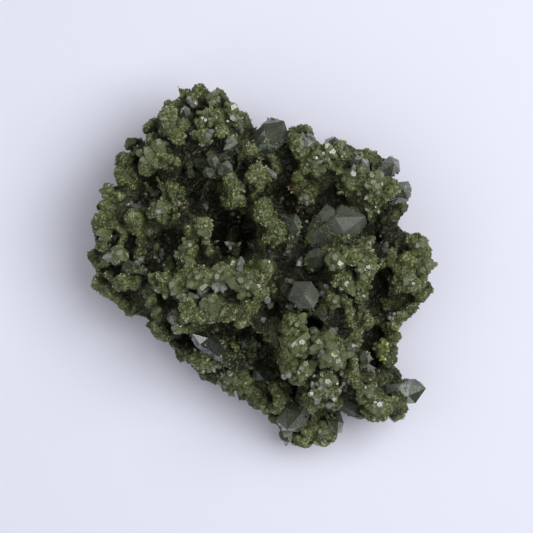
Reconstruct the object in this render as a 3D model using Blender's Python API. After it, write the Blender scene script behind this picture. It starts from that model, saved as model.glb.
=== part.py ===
"""Epidote cluster: a hand-sized, knobbly mass of green epidote with glassy quartz points grown in it.

The mass is one body. It is a broken stone with boulders on it, stalks of rock that end in rough
flat-faced lumps, hollows between them, and small epidote crystals fused to the lumps. Each quartz
point is a body of its own, seated in a socket of the mass. Lengths in the tables are millimetres,
and the script builds in metres with +Z up, the cluster resting on its flat broken base at z = 0.
"""

import math
import random

import bmesh
import bpy
import numpy as np
from mathutils import Matrix, Vector

MM = 0.001
SEED = 41

# The room between a quartz point and its socket. The tip's end gets twice as much.
SOCKET_GAP = 0.32
SOCKET_GAP_AT_CORNERS = 1.2
SOCKET_GAP_AT_SHOULDER = 0.3
SOCKET_GAP_AT_TIP = 2.0

# The rough mass is made of cells this wide, and this share of its faces is kept.
VOXEL = 1.3
CORE_FACES_KEPT = 0.0252
CRAG_DEPTH = 1.5
CRAG_SIZE = 5.5

# The stalk under a lump starts this share of the way out and up to the lump. Its foot and its top
# are these many lump radii thick.
STALK_INWARD = 0.82
STALK_HEIGHT = 0.5
STALK_FOOT = 1.9
STALK_TOP = 0.8

# A lump is a rough block with this many corners, each that many radii from its middle.
LUMP_CORNERS = 10
LUMP_WIDER = 1.12
CORNER_REACH = (0.88, 1.14)
BLOCK_SQUASH = (0.85, 1.15)
BLOCK_SQUASH_UP = (0.85, 1.1)

# Small blocks sit against the sides of some lumps.
SMALL_BLOCKS = 7
SMALL_BLOCK_SHARE = (0.4, 0.62)
SMALL_BLOCK_CORNERS = 8
SMALL_BLOCK_RISE = (-0.6, 0.5)

# The outline of the widest part, seen from above.
OUTLINE = [
    (-22, 49), (-15, 50), (-9, 46), (-3.5, 42), (3, 40), (13, 37), (24, 35), (31, 31), (37, 29.5),
    (40, 24), (39, 14), (44, 9.5), (48, 3.5), (48, -3), (45, -9), (40, -15), (37, -20), (37, -27),
    (43, -32), (42, -38), (35, -40), (25, -41), (20, -46), (12, -49), (5, -47), (2, -41), (-8, -34),
    (-13, -29), (-21, -27), (-27, -22), (-31, -17), (-36, -12), (-41, -8), (-46, -2), (-48, 9),
    (-45, 20), (-40, 27), (-38, 33), (-33, 38), (-27, 45),
]

# Height of each level of the broken stone, and its share of the outline.
STONE_LEVELS = [(-4, 0.56), (0, 0.60), (5, 0.74), (10, 0.89), (14, 0.96), (18, 0.92), (21, 0.78)]

# Boulders that carry the lumps: x, y and z of the middle, then the half sizes.
BOULDERS = [
    (-16, 32, 24, 17, 12, 13),
    (-33, 8, 19, 12, 17, 10),
    (-9, -5, 28, 18, 9, 15),
    (20, 27, 20, 18, 8, 13),
    (16, -16, 26, 13, 14, 16),
    (38, -1, 18, 8, 9, 10),
    (35, -34, 12, 7, 6, 9),
    (13, -40, 10, 9, 8, 9),
    (-8, -26, 10, 13, 7, 8),
    (24, 4, 24, 9, 8, 13),
]

# Lumps: x, y, height of the top, radius.
CROWN = [
    (-15.5, 47.5, 34, 3.3), (-21, 48, 33, 3), (-9.5, 42, 36, 4.5), (-12, 47.3, 33, 3),
    (-25.5, 44, 33, 3.5), (-23, 39.5, 44, 3), (-18, 38.5, 41, 3), (-13.5, 41, 42, 3.5),
    (-30, 34.5, 40, 3), (-26.5, 30.5, 43, 3.5), (-9, 34.5, 41, 3), (-11.5, 29, 41, 3.5),
    (-6.5, 22, 45, 3.5), (-29.5, 40, 29, 2.5), (-4, 31, 40, 2.5), (-20, 31, 33, 3),
]
LEFT_SHOULDER = [
    (-38, 29.5, 31, 3), (-43, 22, 28, 2.5), (-36.5, 22.5, 34, 3), (-39.5, 15.5, 35, 4),
    (-44.8, 9, 26, 3.3), (-44, 15.5, 25, 3), (-34, 13.5, 38, 3.5), (-25, 21.5, 44, 3),
    (-28.5, 16.5, 43, 3), (-44.6, 2, 25, 3.5), (-40, 4, 33, 2.5), (-35.5, -4, 33, 2.5),
    (-31.5, 6, 30, 3), (-35, 34.5, 27, 3),
    (-40.5, -4, 25, 3), (-37, -10, 22, 3), (-31, -8.5, 26, 3),
]
POCKET_WALLS = [
    (-18, 10, 45, 3.5), (-20.5, 4.5, 47, 3), (-1, 25, 46, 1.5), (1, 16.5, 45, 2.5), (3, 10, 43, 2.5),
    (-1, 6.5, 36, 2.5), (-8.5, 7, 21, 2), (-4, 12, 24, 2.5),
]
MIDDLE_RIDGE = [
    (-23, -5, 44, 4), (-17, -2.5, 50, 3.5), (-11, -3, 52, 4), (-5, -2.5, 53, 3.5), (1, -0.5, 51, 2.5),
    (-1.5, -6, 49, 3), (-18.5, -9.5, 47, 3.5), (-12, -9.5, 50, 3.5), (-6, -10, 47, 2.5),
    (-21, -14.5, 42, 3), (-26.5, -12, 34, 3), (-27, -17.5, 29, 2.5),
]
UPPER_RIDGE = [
    (7.5, 36, 34, 3), (12, 37, 33, 2.5), (3, 29.5, 38, 3.5), (13.5, 31, 42, 3.5), (20.5, 31, 40, 3.5),
    (27.5, 26, 38, 3.5), (32.5, 22, 38, 3.5), (11, 23.5, 38, 3.5), (37.5, 16, 31, 3),
    (30.5, 16.5, 35, 2.5), (35, 12, 28, 3), (37, 10.5, 24, 2.5),
]
CENTRE = [
    (22.5, 4, 46, 3), (28, -1, 45, 3), (23.5, -3, 44, 2.5), (21, -8.5, 44, 2.5), (26.5, -9.5, 40, 1.5),
    (19.5, -13, 33, 2.5), (10.5, -1, 34, 2.5), (8, -16, 43, 2.5), (10.5, -20.5, 48, 3.5),
    (19.5, -21.5, 50, 4), (26, -19, 46, 2.5), (11.5, -27.5, 44, 3), (18.5, -32.5, 43, 3),
    (5.5, -14.5, 33, 2.5), (24, -30, 38, 2.5), (6, -6.5, 40, 3), (3, -17, 35, 3), (15, -36.5, 35, 3),
    (21.5, -37, 33, 3), (28.5, -14, 33, 3), (17, -4.5, 38, 2.5),
]
RIGHT_LOBE = [
    (44.2, 6.8, 34, 3.4), (46, 0.5, 32, 3), (41, 2, 31, 2.5), (39.5, -4, 35, 3), (45, -6, 26, 3),
    (41, -11, 24, 3), (33.5, 5.5, 27, 2.5), (37.7, -19.3, 24, 2.8), (36.4, -24.3, 21, 2.6),
]
LOWER_RIGHT = [(28, -34.5, 36, 2.5), (32.5, -36.5, 33, 2.5), (38, -39.3, 19, 3.2), (31, -40, 22, 3)]
LOWER_LEFT = [
    (-13, -21.5, 33, 3.5), (-8, -22, 32, 3), (-3.5, -23.5, 26, 2.5), (-17.5, -16.5, 38, 2.5),
    (-0.5, -13, 36, 2.5), (-22.5, -23.5, 20, 3), (-16.5, -25.3, 18, 2.4), (-30, -16.3, 20, 2.5),
    (-7, -29, 24, 3.5), (-4, -34, 18, 3), (0.5, -35, 24, 3.5), (6.5, -24, 30, 3), (5, -33, 27, 3),
    (2, -39.5, 17, 2.5),
]
FOOT = [(16, -46.5, 17, 3), (12, -48.6, 14, 3), (7.8, -47.6, 12, 2.6), (13.5, -36.5, 28, 3)]
LUMPS = (
    CROWN + LEFT_SHOULDER + POCKET_WALLS + MIDDLE_RIDGE + UPPER_RIDGE
    + CENTRE + RIGHT_LOBE + LOWER_RIGHT + LOWER_LEFT + FOOT
)

# Hollows: x, y, z and radius of the deep end, then of the open end.
HOLLOWS = {
    "central_pit": ((-8.5, 10.5, 20, 6.5), (-9, 11.5, 56, 9.5)),
    "crown_cave": ((-31.5, 25, 30, 3.5), (-34.5, 25, 50, 4.5)),
    "crown_slot": ((-20, 26, 32, 3), (-19, 27, 54, 4)),
    "crown_crease": ((-17, 34, 32, 1.8), (-17, 34.5, 50, 2.6)),
    "crown_gully": ((-18.5, 19, 27, 3), (-18.5, 19.5, 52, 3.6)),
    "outer_slot": ((-28.4, 38.5, 30, 2), (-29.5, 40, 46, 2.8)),
    "shoulder_cave": ((-27, 7, 28, 4), (-28, 6.5, 52, 5)),
    "left_gully": ((-29, -3.5, 22, 3), (-29.5, -5, 46, 4)),
    "trench_left": ((6, 18.5, 26, 4), (7, 19.5, 52, 5)),
    "trench_right": ((20, 19.5, 25, 4), (21, 20.5, 52, 6)),
    "east_gap": ((33.5, 10, 19, 2.6), (34, 10, 42, 3.4)),
    "right_hollow": ((31.5, -4.5, 21, 4.8), (33, -6, 48, 7.2)),
    "right_hollow_end": ((31, -12, 21, 3.8), (31.5, -12.5, 44, 5)),
    "notch": ((31.8, -19.5, 17, 4), (32, -20, 44, 5.2)),
    "notch_channel": ((31.5, -27, 16, 2.8), (32, -27.5, 42, 4)),
    "notch_mouth": ((42.5, -23, 12, 3), (45, -22.5, 32, 5)),
    "ridge_overhang": ((-7, -15.5, 30, 2.6), (-7.5, -16.5, 50, 3.4)),
    "overhang_end": ((-13, -15, 33, 2.4), (-13.5, -16, 50, 3)),
    "slope_cave": ((-20.5, -20.5, 19, 2.8), (-22, -23.5, 38, 3.8)),
    "slope_gully": ((-1.5, -27.5, 22, 2.4), (-1.5, -28, 44, 3.2)),
    "foot_gully": ((8.5, -33, 19, 2.4), (8, -34, 38, 3.4)),
    "centre_gap": ((5, -2, 34, 2.5), (5, -3, 54, 3.5)),
    "ridge_end_gap": ((3, -10.5, 29, 2.5), (3.5, -10.5, 52, 3.2)),
    "crystal_shadow": ((14.5, -15.5, 27, 2.4), (14.5, -15.5, 52, 3.2)),
    "upper_gap": ((8, 29, 30, 2), (8, 29, 46, 2.5)),
}

# Quartz points: foot, tip and radius of each crystal of a piece.
QUARTZ = {
    "quartz_top_edge": [((-0.5, 33.5, 25), (6.3, 40.8, 38), 4.6)],
    "quartz_top_small": [((18.5, 31, 24), (20.5, 37, 34), 2.7)],
    "quartz_top_right": [((26, 25, 22), (28.4, 30.6, 35), 3.3)],
    "quartz_right_knob": [((31.5, 25, 18), (37.3, 29.8, 34), 2.9)],
    "quartz_right_tip": [((38.5, 18, 11), (40.2, 23, 30.5), 2.9)],
    "quartz_chamber": [((17, 8, 22), (28.5, 15.5, 38), 5.2), ((15.5, 11, 22), (20.5, 17, 34), 3)],
    "quartz_chamber_left": [((8, 8, 22), (9, 14, 37), 3.0)],
    "quartz_striated": [((14, 0, 24), (15.5, 4, 41), 2.9)],
    "quartz_crown_point": [((12, -8.5, 26), (12, -7, 48), 4.4)],
    "quartz_spray": [((28, -26.5, 22), (29.5, -24.5, 37), 1.9), ((28, -27, 22), (25.6, -25, 35), 1.5)],
    "quartz_bottom_large": [((12, -36, 10), (7.4, -46, 27), 4.4)],
    "quartz_bottom_clear": [((19.5, -39.5, 8), (21.6, -46.3, 22), 2.6)],
    "quartz_bottom_prism": [((20, -37, 20), (29.5, -41.5, 28), 2.1)],
    "quartz_lower_right": [((34, -35, 13), (47, -34, 24), 3.6)],
    "quartz_blade": [((-6.5, -27, 25), (-19, -18, 40), 2.6)],
    "quartz_dark_pyramid": [((-4.5, -21.5, 18), (-4.8, -20, 33), 2.3)],
    "quartz_dark_glass": [((4.5, -31, 18), (-1.5, -28.5, 33), 2.5)],
    "quartz_white_cluster": [
        ((-12, 27, 34), (-9, 28, 49), 1.9),
        ((-12, 27, 34), (-13.5, 30.5, 48), 1.7),
        ((-12, 27, 34), (-15, 26.5, 47), 1.6),
    ],
    "quartz_left_striated": [((-33, -1, 24), (-38.5, 0.8, 36), 2.1)],
    "quartz_upper_grey": [((-20.5, 42, 30), (-21, 44, 43), 1.6)],
}

# The six faces of a tip start about this many radii below its point, each a little higher or lower.
# The point leans aside by this share of the radius at most.
QUARTZ_TIP_RADII = 1.2
QUARTZ_SHOULDER_SPREAD = (0.7, 1.3)
QUARTZ_WIDTH_SPREAD = (0.86, 1.08)
QUARTZ_TIP_LEAN = 0.18

# Fused epidote crystals: how many, their length, radius and flatness, and how far each stands out.
EPIDOTE_CRYSTALS = 24
EPIDOTE_LENGTH = (4.0, 6.0)
EPIDOTE_RADIUS = (1.1, 1.7)
EPIDOTE_FLATNESS = (0.5, 0.75)
EPIDOTE_PROUD = (0.9, 2.0)
EPIDOTE_LEAN = 0.55
EPIDOTE_LEAN_UP = 0.6
EPIDOTE_UPWARD = 0.9
EPIDOTE_RIDGE = 0.5
EPIDOTE_ROOF = 0.8

FLOOR_CUTTER_WIDTH = 150.0
FLOOR_CUTTER_DEPTH = 30.0


def clear_scene():
    for thing in list(bpy.data.objects):
        bpy.data.objects.remove(thing)


def plain_material(name, colour, roughness, transmission=0.0, refraction=1.5):
    material = bpy.data.materials.new(name)
    material.use_nodes = True
    shader = material.node_tree.nodes["Principled BSDF"]
    shader.inputs["Base Color"].default_value = (*colour, 1.0)
    shader.inputs["Roughness"].default_value = roughness
    shader.inputs["Metallic"].default_value = 0.0
    shader.inputs["Transmission Weight"].default_value = transmission
    shader.inputs["IOR"].default_value = refraction
    return material


def new_object(name, mesh_builder, collection=None):
    mesh = bpy.data.meshes.new(name)
    bmesh.ops.recalc_face_normals(mesh_builder, faces=mesh_builder.faces)
    mesh_builder.to_mesh(mesh)
    mesh_builder.free()
    made = bpy.data.objects.new(name, mesh)
    (collection or bpy.context.scene.collection).objects.link(made)
    return made


def helper_collection(name):
    collection = bpy.data.collections.new(name)
    bpy.context.scene.collection.children.link(collection)
    return collection


def hide_helper(thing):
    thing.hide_render = True
    thing.display_type = "WIRE"


def add_loft(builder, levels, outline):
    """A closed stack of copies of the outline, one for each (height, share) level."""
    rings = []
    for height, share in levels:
        ring = [Vector((x * share, y * share, height)) * MM for x, y in outline]
        rings.append([builder.verts.new(point) for point in ring])
    count = len(outline)
    for lower, upper in zip(rings, rings[1:]):
        for i in range(count):
            j = (i + 1) % count
            builder.faces.new((lower[i], lower[j], upper[j], upper[i]))
    builder.faces.new(rings[0])
    builder.faces.new(rings[-1])


def add_boulder(builder, x, y, z, wide, deep, high):
    stretch = Matrix.Diagonal((wide * MM, deep * MM, high * MM, 1))
    place = Matrix.Translation(Vector((x, y, z)) * MM) @ stretch
    bmesh.ops.create_icosphere(builder, subdivisions=3, radius=1.0, matrix=place)


def add_tapered_rod(builder, start, start_radius, end, end_radius, sides=10, steps=3):
    """A closed rod with a ball at each end, its sides touching both balls along their tangents."""
    along = (Vector(end) - Vector(start)).length
    touch = math.asin(max(-0.95, min(0.95, (start_radius - end_radius) / along)))
    rings = []
    for step in range(1, steps + 1):
        angle = -math.pi / 2 + (touch + math.pi / 2) * step / steps
        rings.append((start_radius * math.cos(angle), start_radius * math.sin(angle)))
    for step in range(steps):
        angle = touch + (math.pi / 2 - touch) * step / steps
        rings.append((end_radius * math.cos(angle), along + end_radius * math.sin(angle)))
    place = crystal_frame(start, end, 0)
    loops = []
    for radius, height in rings:
        loop = []
        for side in range(sides):
            turn = math.tau * side / sides
            point = Vector((radius * math.cos(turn), radius * math.sin(turn), height)) * MM
            loop.append(builder.verts.new(place @ point))
        loops.append(loop)
    low = builder.verts.new(place @ (Vector((0, 0, -start_radius)) * MM))
    high = builder.verts.new(place @ (Vector((0, 0, along + end_radius)) * MM))
    for side in range(sides):
        following = (side + 1) % sides
        builder.faces.new((low, loops[0][following], loops[0][side]))
        builder.faces.new((high, loops[-1][side], loops[-1][following]))
        for lower, upper in zip(loops, loops[1:]):
            builder.faces.new((lower[side], lower[following], upper[following], upper[side]))


def rod_object(name, start, start_radius, end, end_radius, collection):
    builder = bmesh.new()
    add_tapered_rod(builder, start, start_radius, end, end_radius)
    return new_object(name, builder, collection)


def add_stalk(builder, x, y, top, radius):
    foot = (x * STALK_INWARD, y * STALK_INWARD, max(top * STALK_HEIGHT, 5))
    add_tapered_rod(builder, foot, radius * STALK_FOOT, (x, y, top - radius), radius * STALK_TOP)


def crystal_frame(foot, tip, turn):
    """Matrix that takes a crystal along +Z from the origin to its place, turned about its own axis."""
    along = Vector(tip) - Vector(foot)
    aim = along.to_track_quat("Z", "Y").to_matrix().to_4x4()
    return Matrix.Translation(Vector(foot) * MM) @ aim @ Matrix.Rotation(turn, 4, "Z")


def quartz_builder(foot, tip, radius, chance, grow=0.0):
    """A six-sided prism with an uneven six-faced tip. grow makes it that much larger all round."""
    length = (Vector(tip) - Vector(foot)).length
    turn = chance.uniform(0, math.tau / 6)
    tip_height = radius * QUARTZ_TIP_RADII
    shoulders = [length - tip_height * chance.uniform(*QUARTZ_SHOULDER_SPREAD) for _ in range(6)]
    widths = [radius * chance.uniform(*QUARTZ_WIDTH_SPREAD) for _ in range(6)]
    lean = radius * QUARTZ_TIP_LEAN
    peak = (chance.uniform(-lean, lean), chance.uniform(-lean, lean), length + SOCKET_GAP_AT_TIP * grow)
    builder = bmesh.new()
    lower, upper = [], []
    for i, (shoulder, width) in enumerate(zip(shoulders, widths)):
        angle = math.tau * i / 6
        reach = width + SOCKET_GAP_AT_CORNERS * grow
        across = Vector((math.cos(angle), math.sin(angle), 0)) * reach
        shoulder += SOCKET_GAP_AT_SHOULDER * grow
        lower.append(builder.verts.new((across + Vector((0, 0, -grow))) * MM))
        upper.append(builder.verts.new((across + Vector((0, 0, shoulder))) * MM))
    apex = builder.verts.new(Vector(peak) * MM)
    builder.faces.new(lower)
    for i in range(6):
        j = (i + 1) % 6
        builder.faces.new((lower[i], lower[j], upper[j], upper[i]))
        builder.faces.new((upper[i], upper[j], apex))
    bmesh.ops.transform(builder, matrix=crystal_frame(foot, tip, turn), verts=builder.verts)
    return builder


def epidote_builder(foot, tip, radius, chance):
    """A flattened six-sided prism that ends in a roof of two sloping faces."""
    length = (Vector(tip) - Vector(foot)).length
    flatness = chance.uniform(*EPIDOTE_FLATNESS)
    ridge_half = radius * EPIDOTE_RIDGE
    eaves = Vector((0, 0, length - radius * EPIDOTE_ROOF))
    builder = bmesh.new()
    lower, upper = [], []
    for i in range(6):
        angle = math.tau * i / 6
        across = Vector((math.cos(angle) * radius, math.sin(angle) * radius * flatness, 0))
        lower.append(builder.verts.new(across * MM))
        upper.append(builder.verts.new((across + eaves) * MM))
    right = builder.verts.new(Vector((ridge_half, 0, length)) * MM)
    left = builder.verts.new(Vector((-ridge_half, 0, length)) * MM)
    builder.faces.new(lower)
    for i in range(6):
        j = (i + 1) % 6
        builder.faces.new((lower[i], lower[j], upper[j], upper[i]))
    builder.faces.new((upper[0], upper[1], right))
    builder.faces.new((upper[5], upper[0], right))
    builder.faces.new((upper[1], upper[2], left, right))
    builder.faces.new((upper[2], upper[3], left))
    builder.faces.new((upper[3], upper[4], left))
    builder.faces.new((upper[4], upper[5], right, left))
    place = crystal_frame(foot, tip, chance.uniform(0, math.pi))
    bmesh.ops.transform(builder, matrix=place, verts=builder.verts)
    return builder


def build_rough_mass():
    builder = bmesh.new()
    add_loft(builder, STONE_LEVELS, OUTLINE)
    for boulder in BOULDERS:
        add_boulder(builder, *boulder)
    for lump in LUMPS:
        add_stalk(builder, *lump)
    return new_object("epidote_mass", builder)


def build_hollows():
    collection = helper_collection("hollow_cutters")
    for name, ((x, y, z, r), (x2, y2, z2, r2)) in HOLLOWS.items():
        hide_helper(rod_object("hollow_" + name, (x, y, z), r, (x2, y2, z2), r2, collection))
    return collection


def keep_hull(builder):
    """Replaces what the builder holds by its convex hull."""
    corners = [vert.co.copy() for vert in builder.verts]
    builder.clear()
    for corner in corners:
        builder.verts.new(corner)
    hull = bmesh.ops.convex_hull(builder, input=builder.verts, use_existing_faces=False)
    unused = [v for v in hull["geom_interior"] if isinstance(v, bmesh.types.BMVert)]
    bmesh.ops.delete(builder, geom=unused, context="VERTS")
    return builder


def block_builder(middle, radius, corners, chance):
    """A rough block: the hull of corners spread evenly over a ball, each pulled in or out a little."""
    wide = chance.uniform(*BLOCK_SQUASH)
    deep = chance.uniform(*BLOCK_SQUASH)
    squash = Vector((wide, deep, chance.uniform(*BLOCK_SQUASH_UP)))
    tilt = Matrix.Rotation(chance.uniform(0, math.tau), 3, "X")
    turn = tilt @ Matrix.Rotation(chance.uniform(0, math.tau), 3, "Z")
    builder = bmesh.new()
    golden = math.pi * (3 - math.sqrt(5))
    for number in range(corners):
        level = 1 - 2 * (number + 0.5) / corners
        around = math.sqrt(1 - level**2)
        step = golden * number
        point = Vector((around * math.cos(step), around * math.sin(step), level))
        point = turn @ (point * chance.uniform(*CORNER_REACH)) * squash
        builder.verts.new((Vector(middle) + point * radius) * MM)
    return keep_hull(builder)


def add_blocks(collection, chance):
    """A block on each stalk, and small blocks against some of them."""
    for number, (x, y, top, radius) in enumerate(LUMPS):
        builder = block_builder((x, y, top - radius), radius * LUMP_WIDER, LUMP_CORNERS, chance)
        hide_helper(new_object(f"lump_{number:03d}", builder, collection))
    for number in range(SMALL_BLOCKS):
        x, y, top, radius = chance.choice(LUMPS)
        small = radius * chance.uniform(*SMALL_BLOCK_SHARE)
        rise = chance.uniform(*SMALL_BLOCK_RISE)
        away = Vector((chance.gauss(0, 1), chance.gauss(0, 1), rise)).normalized()
        middle = Vector((x, y, top - radius)) + away * radius
        builder = block_builder(middle, small, SMALL_BLOCK_CORNERS, chance)
        hide_helper(new_object(f"small_block_{number:03d}", builder, collection))


def add_epidote_crystals(collection, chance):
    """Small crystals that stand proud of the lumps, leaning out from the middle of the mass."""
    lumps = chance.sample(LUMPS, EPIDOTE_CRYSTALS)
    for number, (x, y, top, radius) in enumerate(lumps):
        outward = Vector((x, y, EPIDOTE_UPWARD * top)).normalized()
        lean = Vector((chance.gauss(0, 1), chance.gauss(0, 1), chance.gauss(0, EPIDOTE_LEAN_UP)))
        along = (outward + lean * EPIDOTE_LEAN).normalized()
        middle = Vector((x, y, top - radius))
        tip = middle + along * (radius + chance.uniform(*EPIDOTE_PROUD))
        foot = tip - along * chance.uniform(*EPIDOTE_LENGTH)
        builder = epidote_builder(foot, tip, chance.uniform(*EPIDOTE_RADIUS), chance)
        hide_helper(new_object(f"fused_crystal_{number:02d}", builder, collection))


def add_boolean(thing, name, operation, collection=None, other=None):
    """Adds a Boolean against one other object, or against all of a collection."""
    modifier = thing.modifiers.new(name, "BOOLEAN")
    modifier.operation = operation
    modifier.solver = "EXACT"
    if collection is not None:
        modifier.operand_type = "COLLECTION"
        modifier.collection = collection
    else:
        modifier.object = other


def add_remesh(thing, name):
    modifier = thing.modifiers.new(name, "REMESH")
    modifier.mode = "VOXEL"
    modifier.voxel_size = VOXEL * MM


def add_crags(thing):
    """Pushes the surface in and out by a cell pattern, which gives ledges and blocky edges."""
    texture = bpy.data.textures.new("crags", "VORONOI")
    texture.noise_scale = CRAG_SIZE * MM
    texture.distance_metric = "DISTANCE"
    modifier = thing.modifiers.new("crags", "DISPLACE")
    modifier.texture = texture
    modifier.texture_coords = "LOCAL"
    modifier.strength = CRAG_DEPTH * MM
    modifier.mid_level = 0.5


def build_floor_cutter():
    builder = bmesh.new()
    wide, deep = FLOOR_CUTTER_WIDTH * MM, FLOOR_CUTTER_DEPTH * MM
    stretch = Matrix.Diagonal((wide, wide, deep, 1))
    bmesh.ops.create_cube(builder, size=1.0, matrix=Matrix.Translation((0, 0, -deep / 2)) @ stretch)
    cutter = new_object("floor_cutter", builder)
    hide_helper(cutter)
    return cutter


def join_crystals(name, crystals, chance):
    """One object of all the crystals of a piece: a Boolean joins the others to the first."""
    made = []
    for number, (foot, tip, radius) in enumerate(crystals):
        label = name if number == 0 else f"{name}_member_{number}"
        made.append(new_object(label, quartz_builder(foot, tip, radius, chance)))
    for other in made[1:]:
        hide_helper(other)
        add_boolean(made[0], "grown together", "UNION", other=other)
    return made[0]


def socket_builder(crystals, chance):
    """The room that a quartz piece takes in the mass: one hull round all its crystals."""
    builder = bmesh.new()
    for foot, tip, radius in crystals:
        grown = quartz_builder(foot, tip, radius, chance, SOCKET_GAP)
        for vert in grown.verts:
            builder.verts.new(vert.co)
        grown.free()
    return keep_hull(builder)


def build_quartz(material):
    """The quartz pieces, and a collection of the cutters for their sockets in the mass."""
    pieces = []
    sockets = helper_collection("quartz_sockets")
    for number, (name, crystals) in enumerate(QUARTZ.items()):
        piece = join_crystals(name, crystals, random.Random(SEED + number))
        piece.data.materials.append(material)
        pieces.append(piece)
        room = socket_builder(crystals, random.Random(SEED + number))
        hide_helper(new_object("socket_" + name, room, sockets))
    return pieces, sockets


def largest_island(builder):
    """The corners of the largest connected body."""
    unseen = set(builder.verts)
    largest = []
    while unseen:
        island = []
        waiting = [unseen.pop()]
        while waiting:
            vert = waiting.pop()
            island.append(vert)
            for edge in vert.link_edges:
                other = edge.other_vert(vert)
                if other in unseen:
                    unseen.remove(other)
                    waiting.append(other)
        largest = max(largest, island, key=len)
    return largest


def settle(pieces):
    """Makes each piece's finished shape its mesh, without the chips that the cuts left loose."""
    graph = bpy.context.evaluated_depsgraph_get()
    shaped = [piece.evaluated_get(graph) for piece in pieces]
    finished = [bpy.data.meshes.new_from_object(shape, depsgraph=graph) for shape in shaped]
    for piece, mesh in zip(pieces, finished):
        builder = bmesh.new()
        builder.from_mesh(mesh)
        kept = set(largest_island(builder))
        chips = [vert for vert in builder.verts if vert not in kept]
        bmesh.ops.delete(builder, geom=chips, context="VERTS")
        builder.to_mesh(mesh)
        builder.free()
        piece.modifiers.clear()
        piece.data = mesh
        mesh.name = piece.name


def remove_helpers():
    for thing in [thing for thing in bpy.data.objects if thing.hide_render]:
        bpy.data.objects.remove(thing)
    for collection in list(bpy.data.collections):
        bpy.data.collections.remove(collection)


def centre(pieces):
    """Moves the pieces so that the middle of their box, seen from above, stands on the origin."""
    corners = np.array([list(corner) for piece in pieces for corner in piece.bound_box])
    middle = (corners.min(axis=0) + corners.max(axis=0)) / 2
    for piece in pieces:
        piece.location = (-float(middle[0]), -float(middle[1]), 0)


def main():
    clear_scene()
    chance = random.Random(SEED)
    epidote = plain_material("epidote", (0.10, 0.13, 0.05), 0.6)
    quartz = plain_material("quartz", (0.72, 0.76, 0.74), 0.08, 1.0, 1.544)
    mass = build_rough_mass()
    mass.data.materials.append(epidote)
    add_remesh(mass, "one body")
    add_boolean(mass, "hollows", "DIFFERENCE", build_hollows())
    add_crags(mass)
    add_remesh(mass, "one body again")
    fewer = mass.modifiers.new("fewer faces", "DECIMATE")
    fewer.ratio = CORE_FACES_KEPT
    grown = helper_collection("blocks_and_crystals")
    add_blocks(grown, chance)
    add_epidote_crystals(grown, chance)
    add_boolean(mass, "blocks and crystals", "UNION", grown)
    pieces, sockets = build_quartz(quartz)
    add_boolean(mass, "sockets", "DIFFERENCE", sockets)
    add_boolean(mass, "flat base", "DIFFERENCE", other=build_floor_cutter())
    pieces.append(mass)
    settle(pieces)
    remove_helpers()
    centre(pieces)


main()
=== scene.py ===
"""Looks of the epidote cluster: moss-fine green grains, small glassy crystals and clear quartz points.

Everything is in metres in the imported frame. Lengths written in millimetres are multiplied by MM.
"""

import itertools
import logging
import math
from collections.abc import Iterator
from dataclasses import dataclass, field
from enum import Enum

import bpy
import numpy as np
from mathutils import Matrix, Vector


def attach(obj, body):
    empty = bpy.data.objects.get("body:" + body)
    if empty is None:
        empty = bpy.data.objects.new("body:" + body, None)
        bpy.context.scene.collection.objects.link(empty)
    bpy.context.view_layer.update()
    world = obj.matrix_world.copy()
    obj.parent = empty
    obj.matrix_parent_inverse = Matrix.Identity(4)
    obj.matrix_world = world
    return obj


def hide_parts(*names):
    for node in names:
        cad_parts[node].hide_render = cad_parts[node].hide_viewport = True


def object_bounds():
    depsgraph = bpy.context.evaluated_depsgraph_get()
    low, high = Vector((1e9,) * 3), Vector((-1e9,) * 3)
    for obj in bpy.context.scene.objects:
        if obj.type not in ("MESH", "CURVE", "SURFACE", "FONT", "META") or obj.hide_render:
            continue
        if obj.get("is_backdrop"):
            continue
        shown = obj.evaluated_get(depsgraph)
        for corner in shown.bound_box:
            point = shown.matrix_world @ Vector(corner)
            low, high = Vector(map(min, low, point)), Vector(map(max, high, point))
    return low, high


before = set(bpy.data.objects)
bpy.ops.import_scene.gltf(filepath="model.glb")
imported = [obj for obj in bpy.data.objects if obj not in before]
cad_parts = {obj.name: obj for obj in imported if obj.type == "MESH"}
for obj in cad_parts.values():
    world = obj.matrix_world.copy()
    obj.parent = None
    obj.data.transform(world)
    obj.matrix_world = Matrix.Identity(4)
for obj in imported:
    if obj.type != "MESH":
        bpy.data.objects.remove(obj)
CAD_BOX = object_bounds()

MM = 0.001
BODY = "root"
SEED = 23
LOG = logging.getLogger("epidote cluster")

# The photograph's width in millimetres at the outline's height, one of its pixels in metres, and the pixel
# that was the middle when the solids were drawn, with how far packing moved them.
PHOTO_WIDTH = 151.0
PIXEL = PHOTO_WIDTH / 533 * MM
MIDDLE_PIXEL = (261, 269)
PACKED_SHIFT = (-0.266 * MM, -0.617 * MM)
QUARTZ_INDEX = 1.544
EPIDOTE_INDEX = 1.70

Array = np.ndarray
Triple = tuple[float, float, float]
Colour = Triple
Pair = tuple[float, float]
Arrays = tuple[Array, Array]
Piece = bpy.types.Object
Material = bpy.types.Material
Socket = bpy.types.NodeSocket
Chance = np.random.Generator


class Slot(Enum):
    """The record's material slots."""

    EPIDOTE = "epidote"
    QUARTZ = "quartz"


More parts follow.
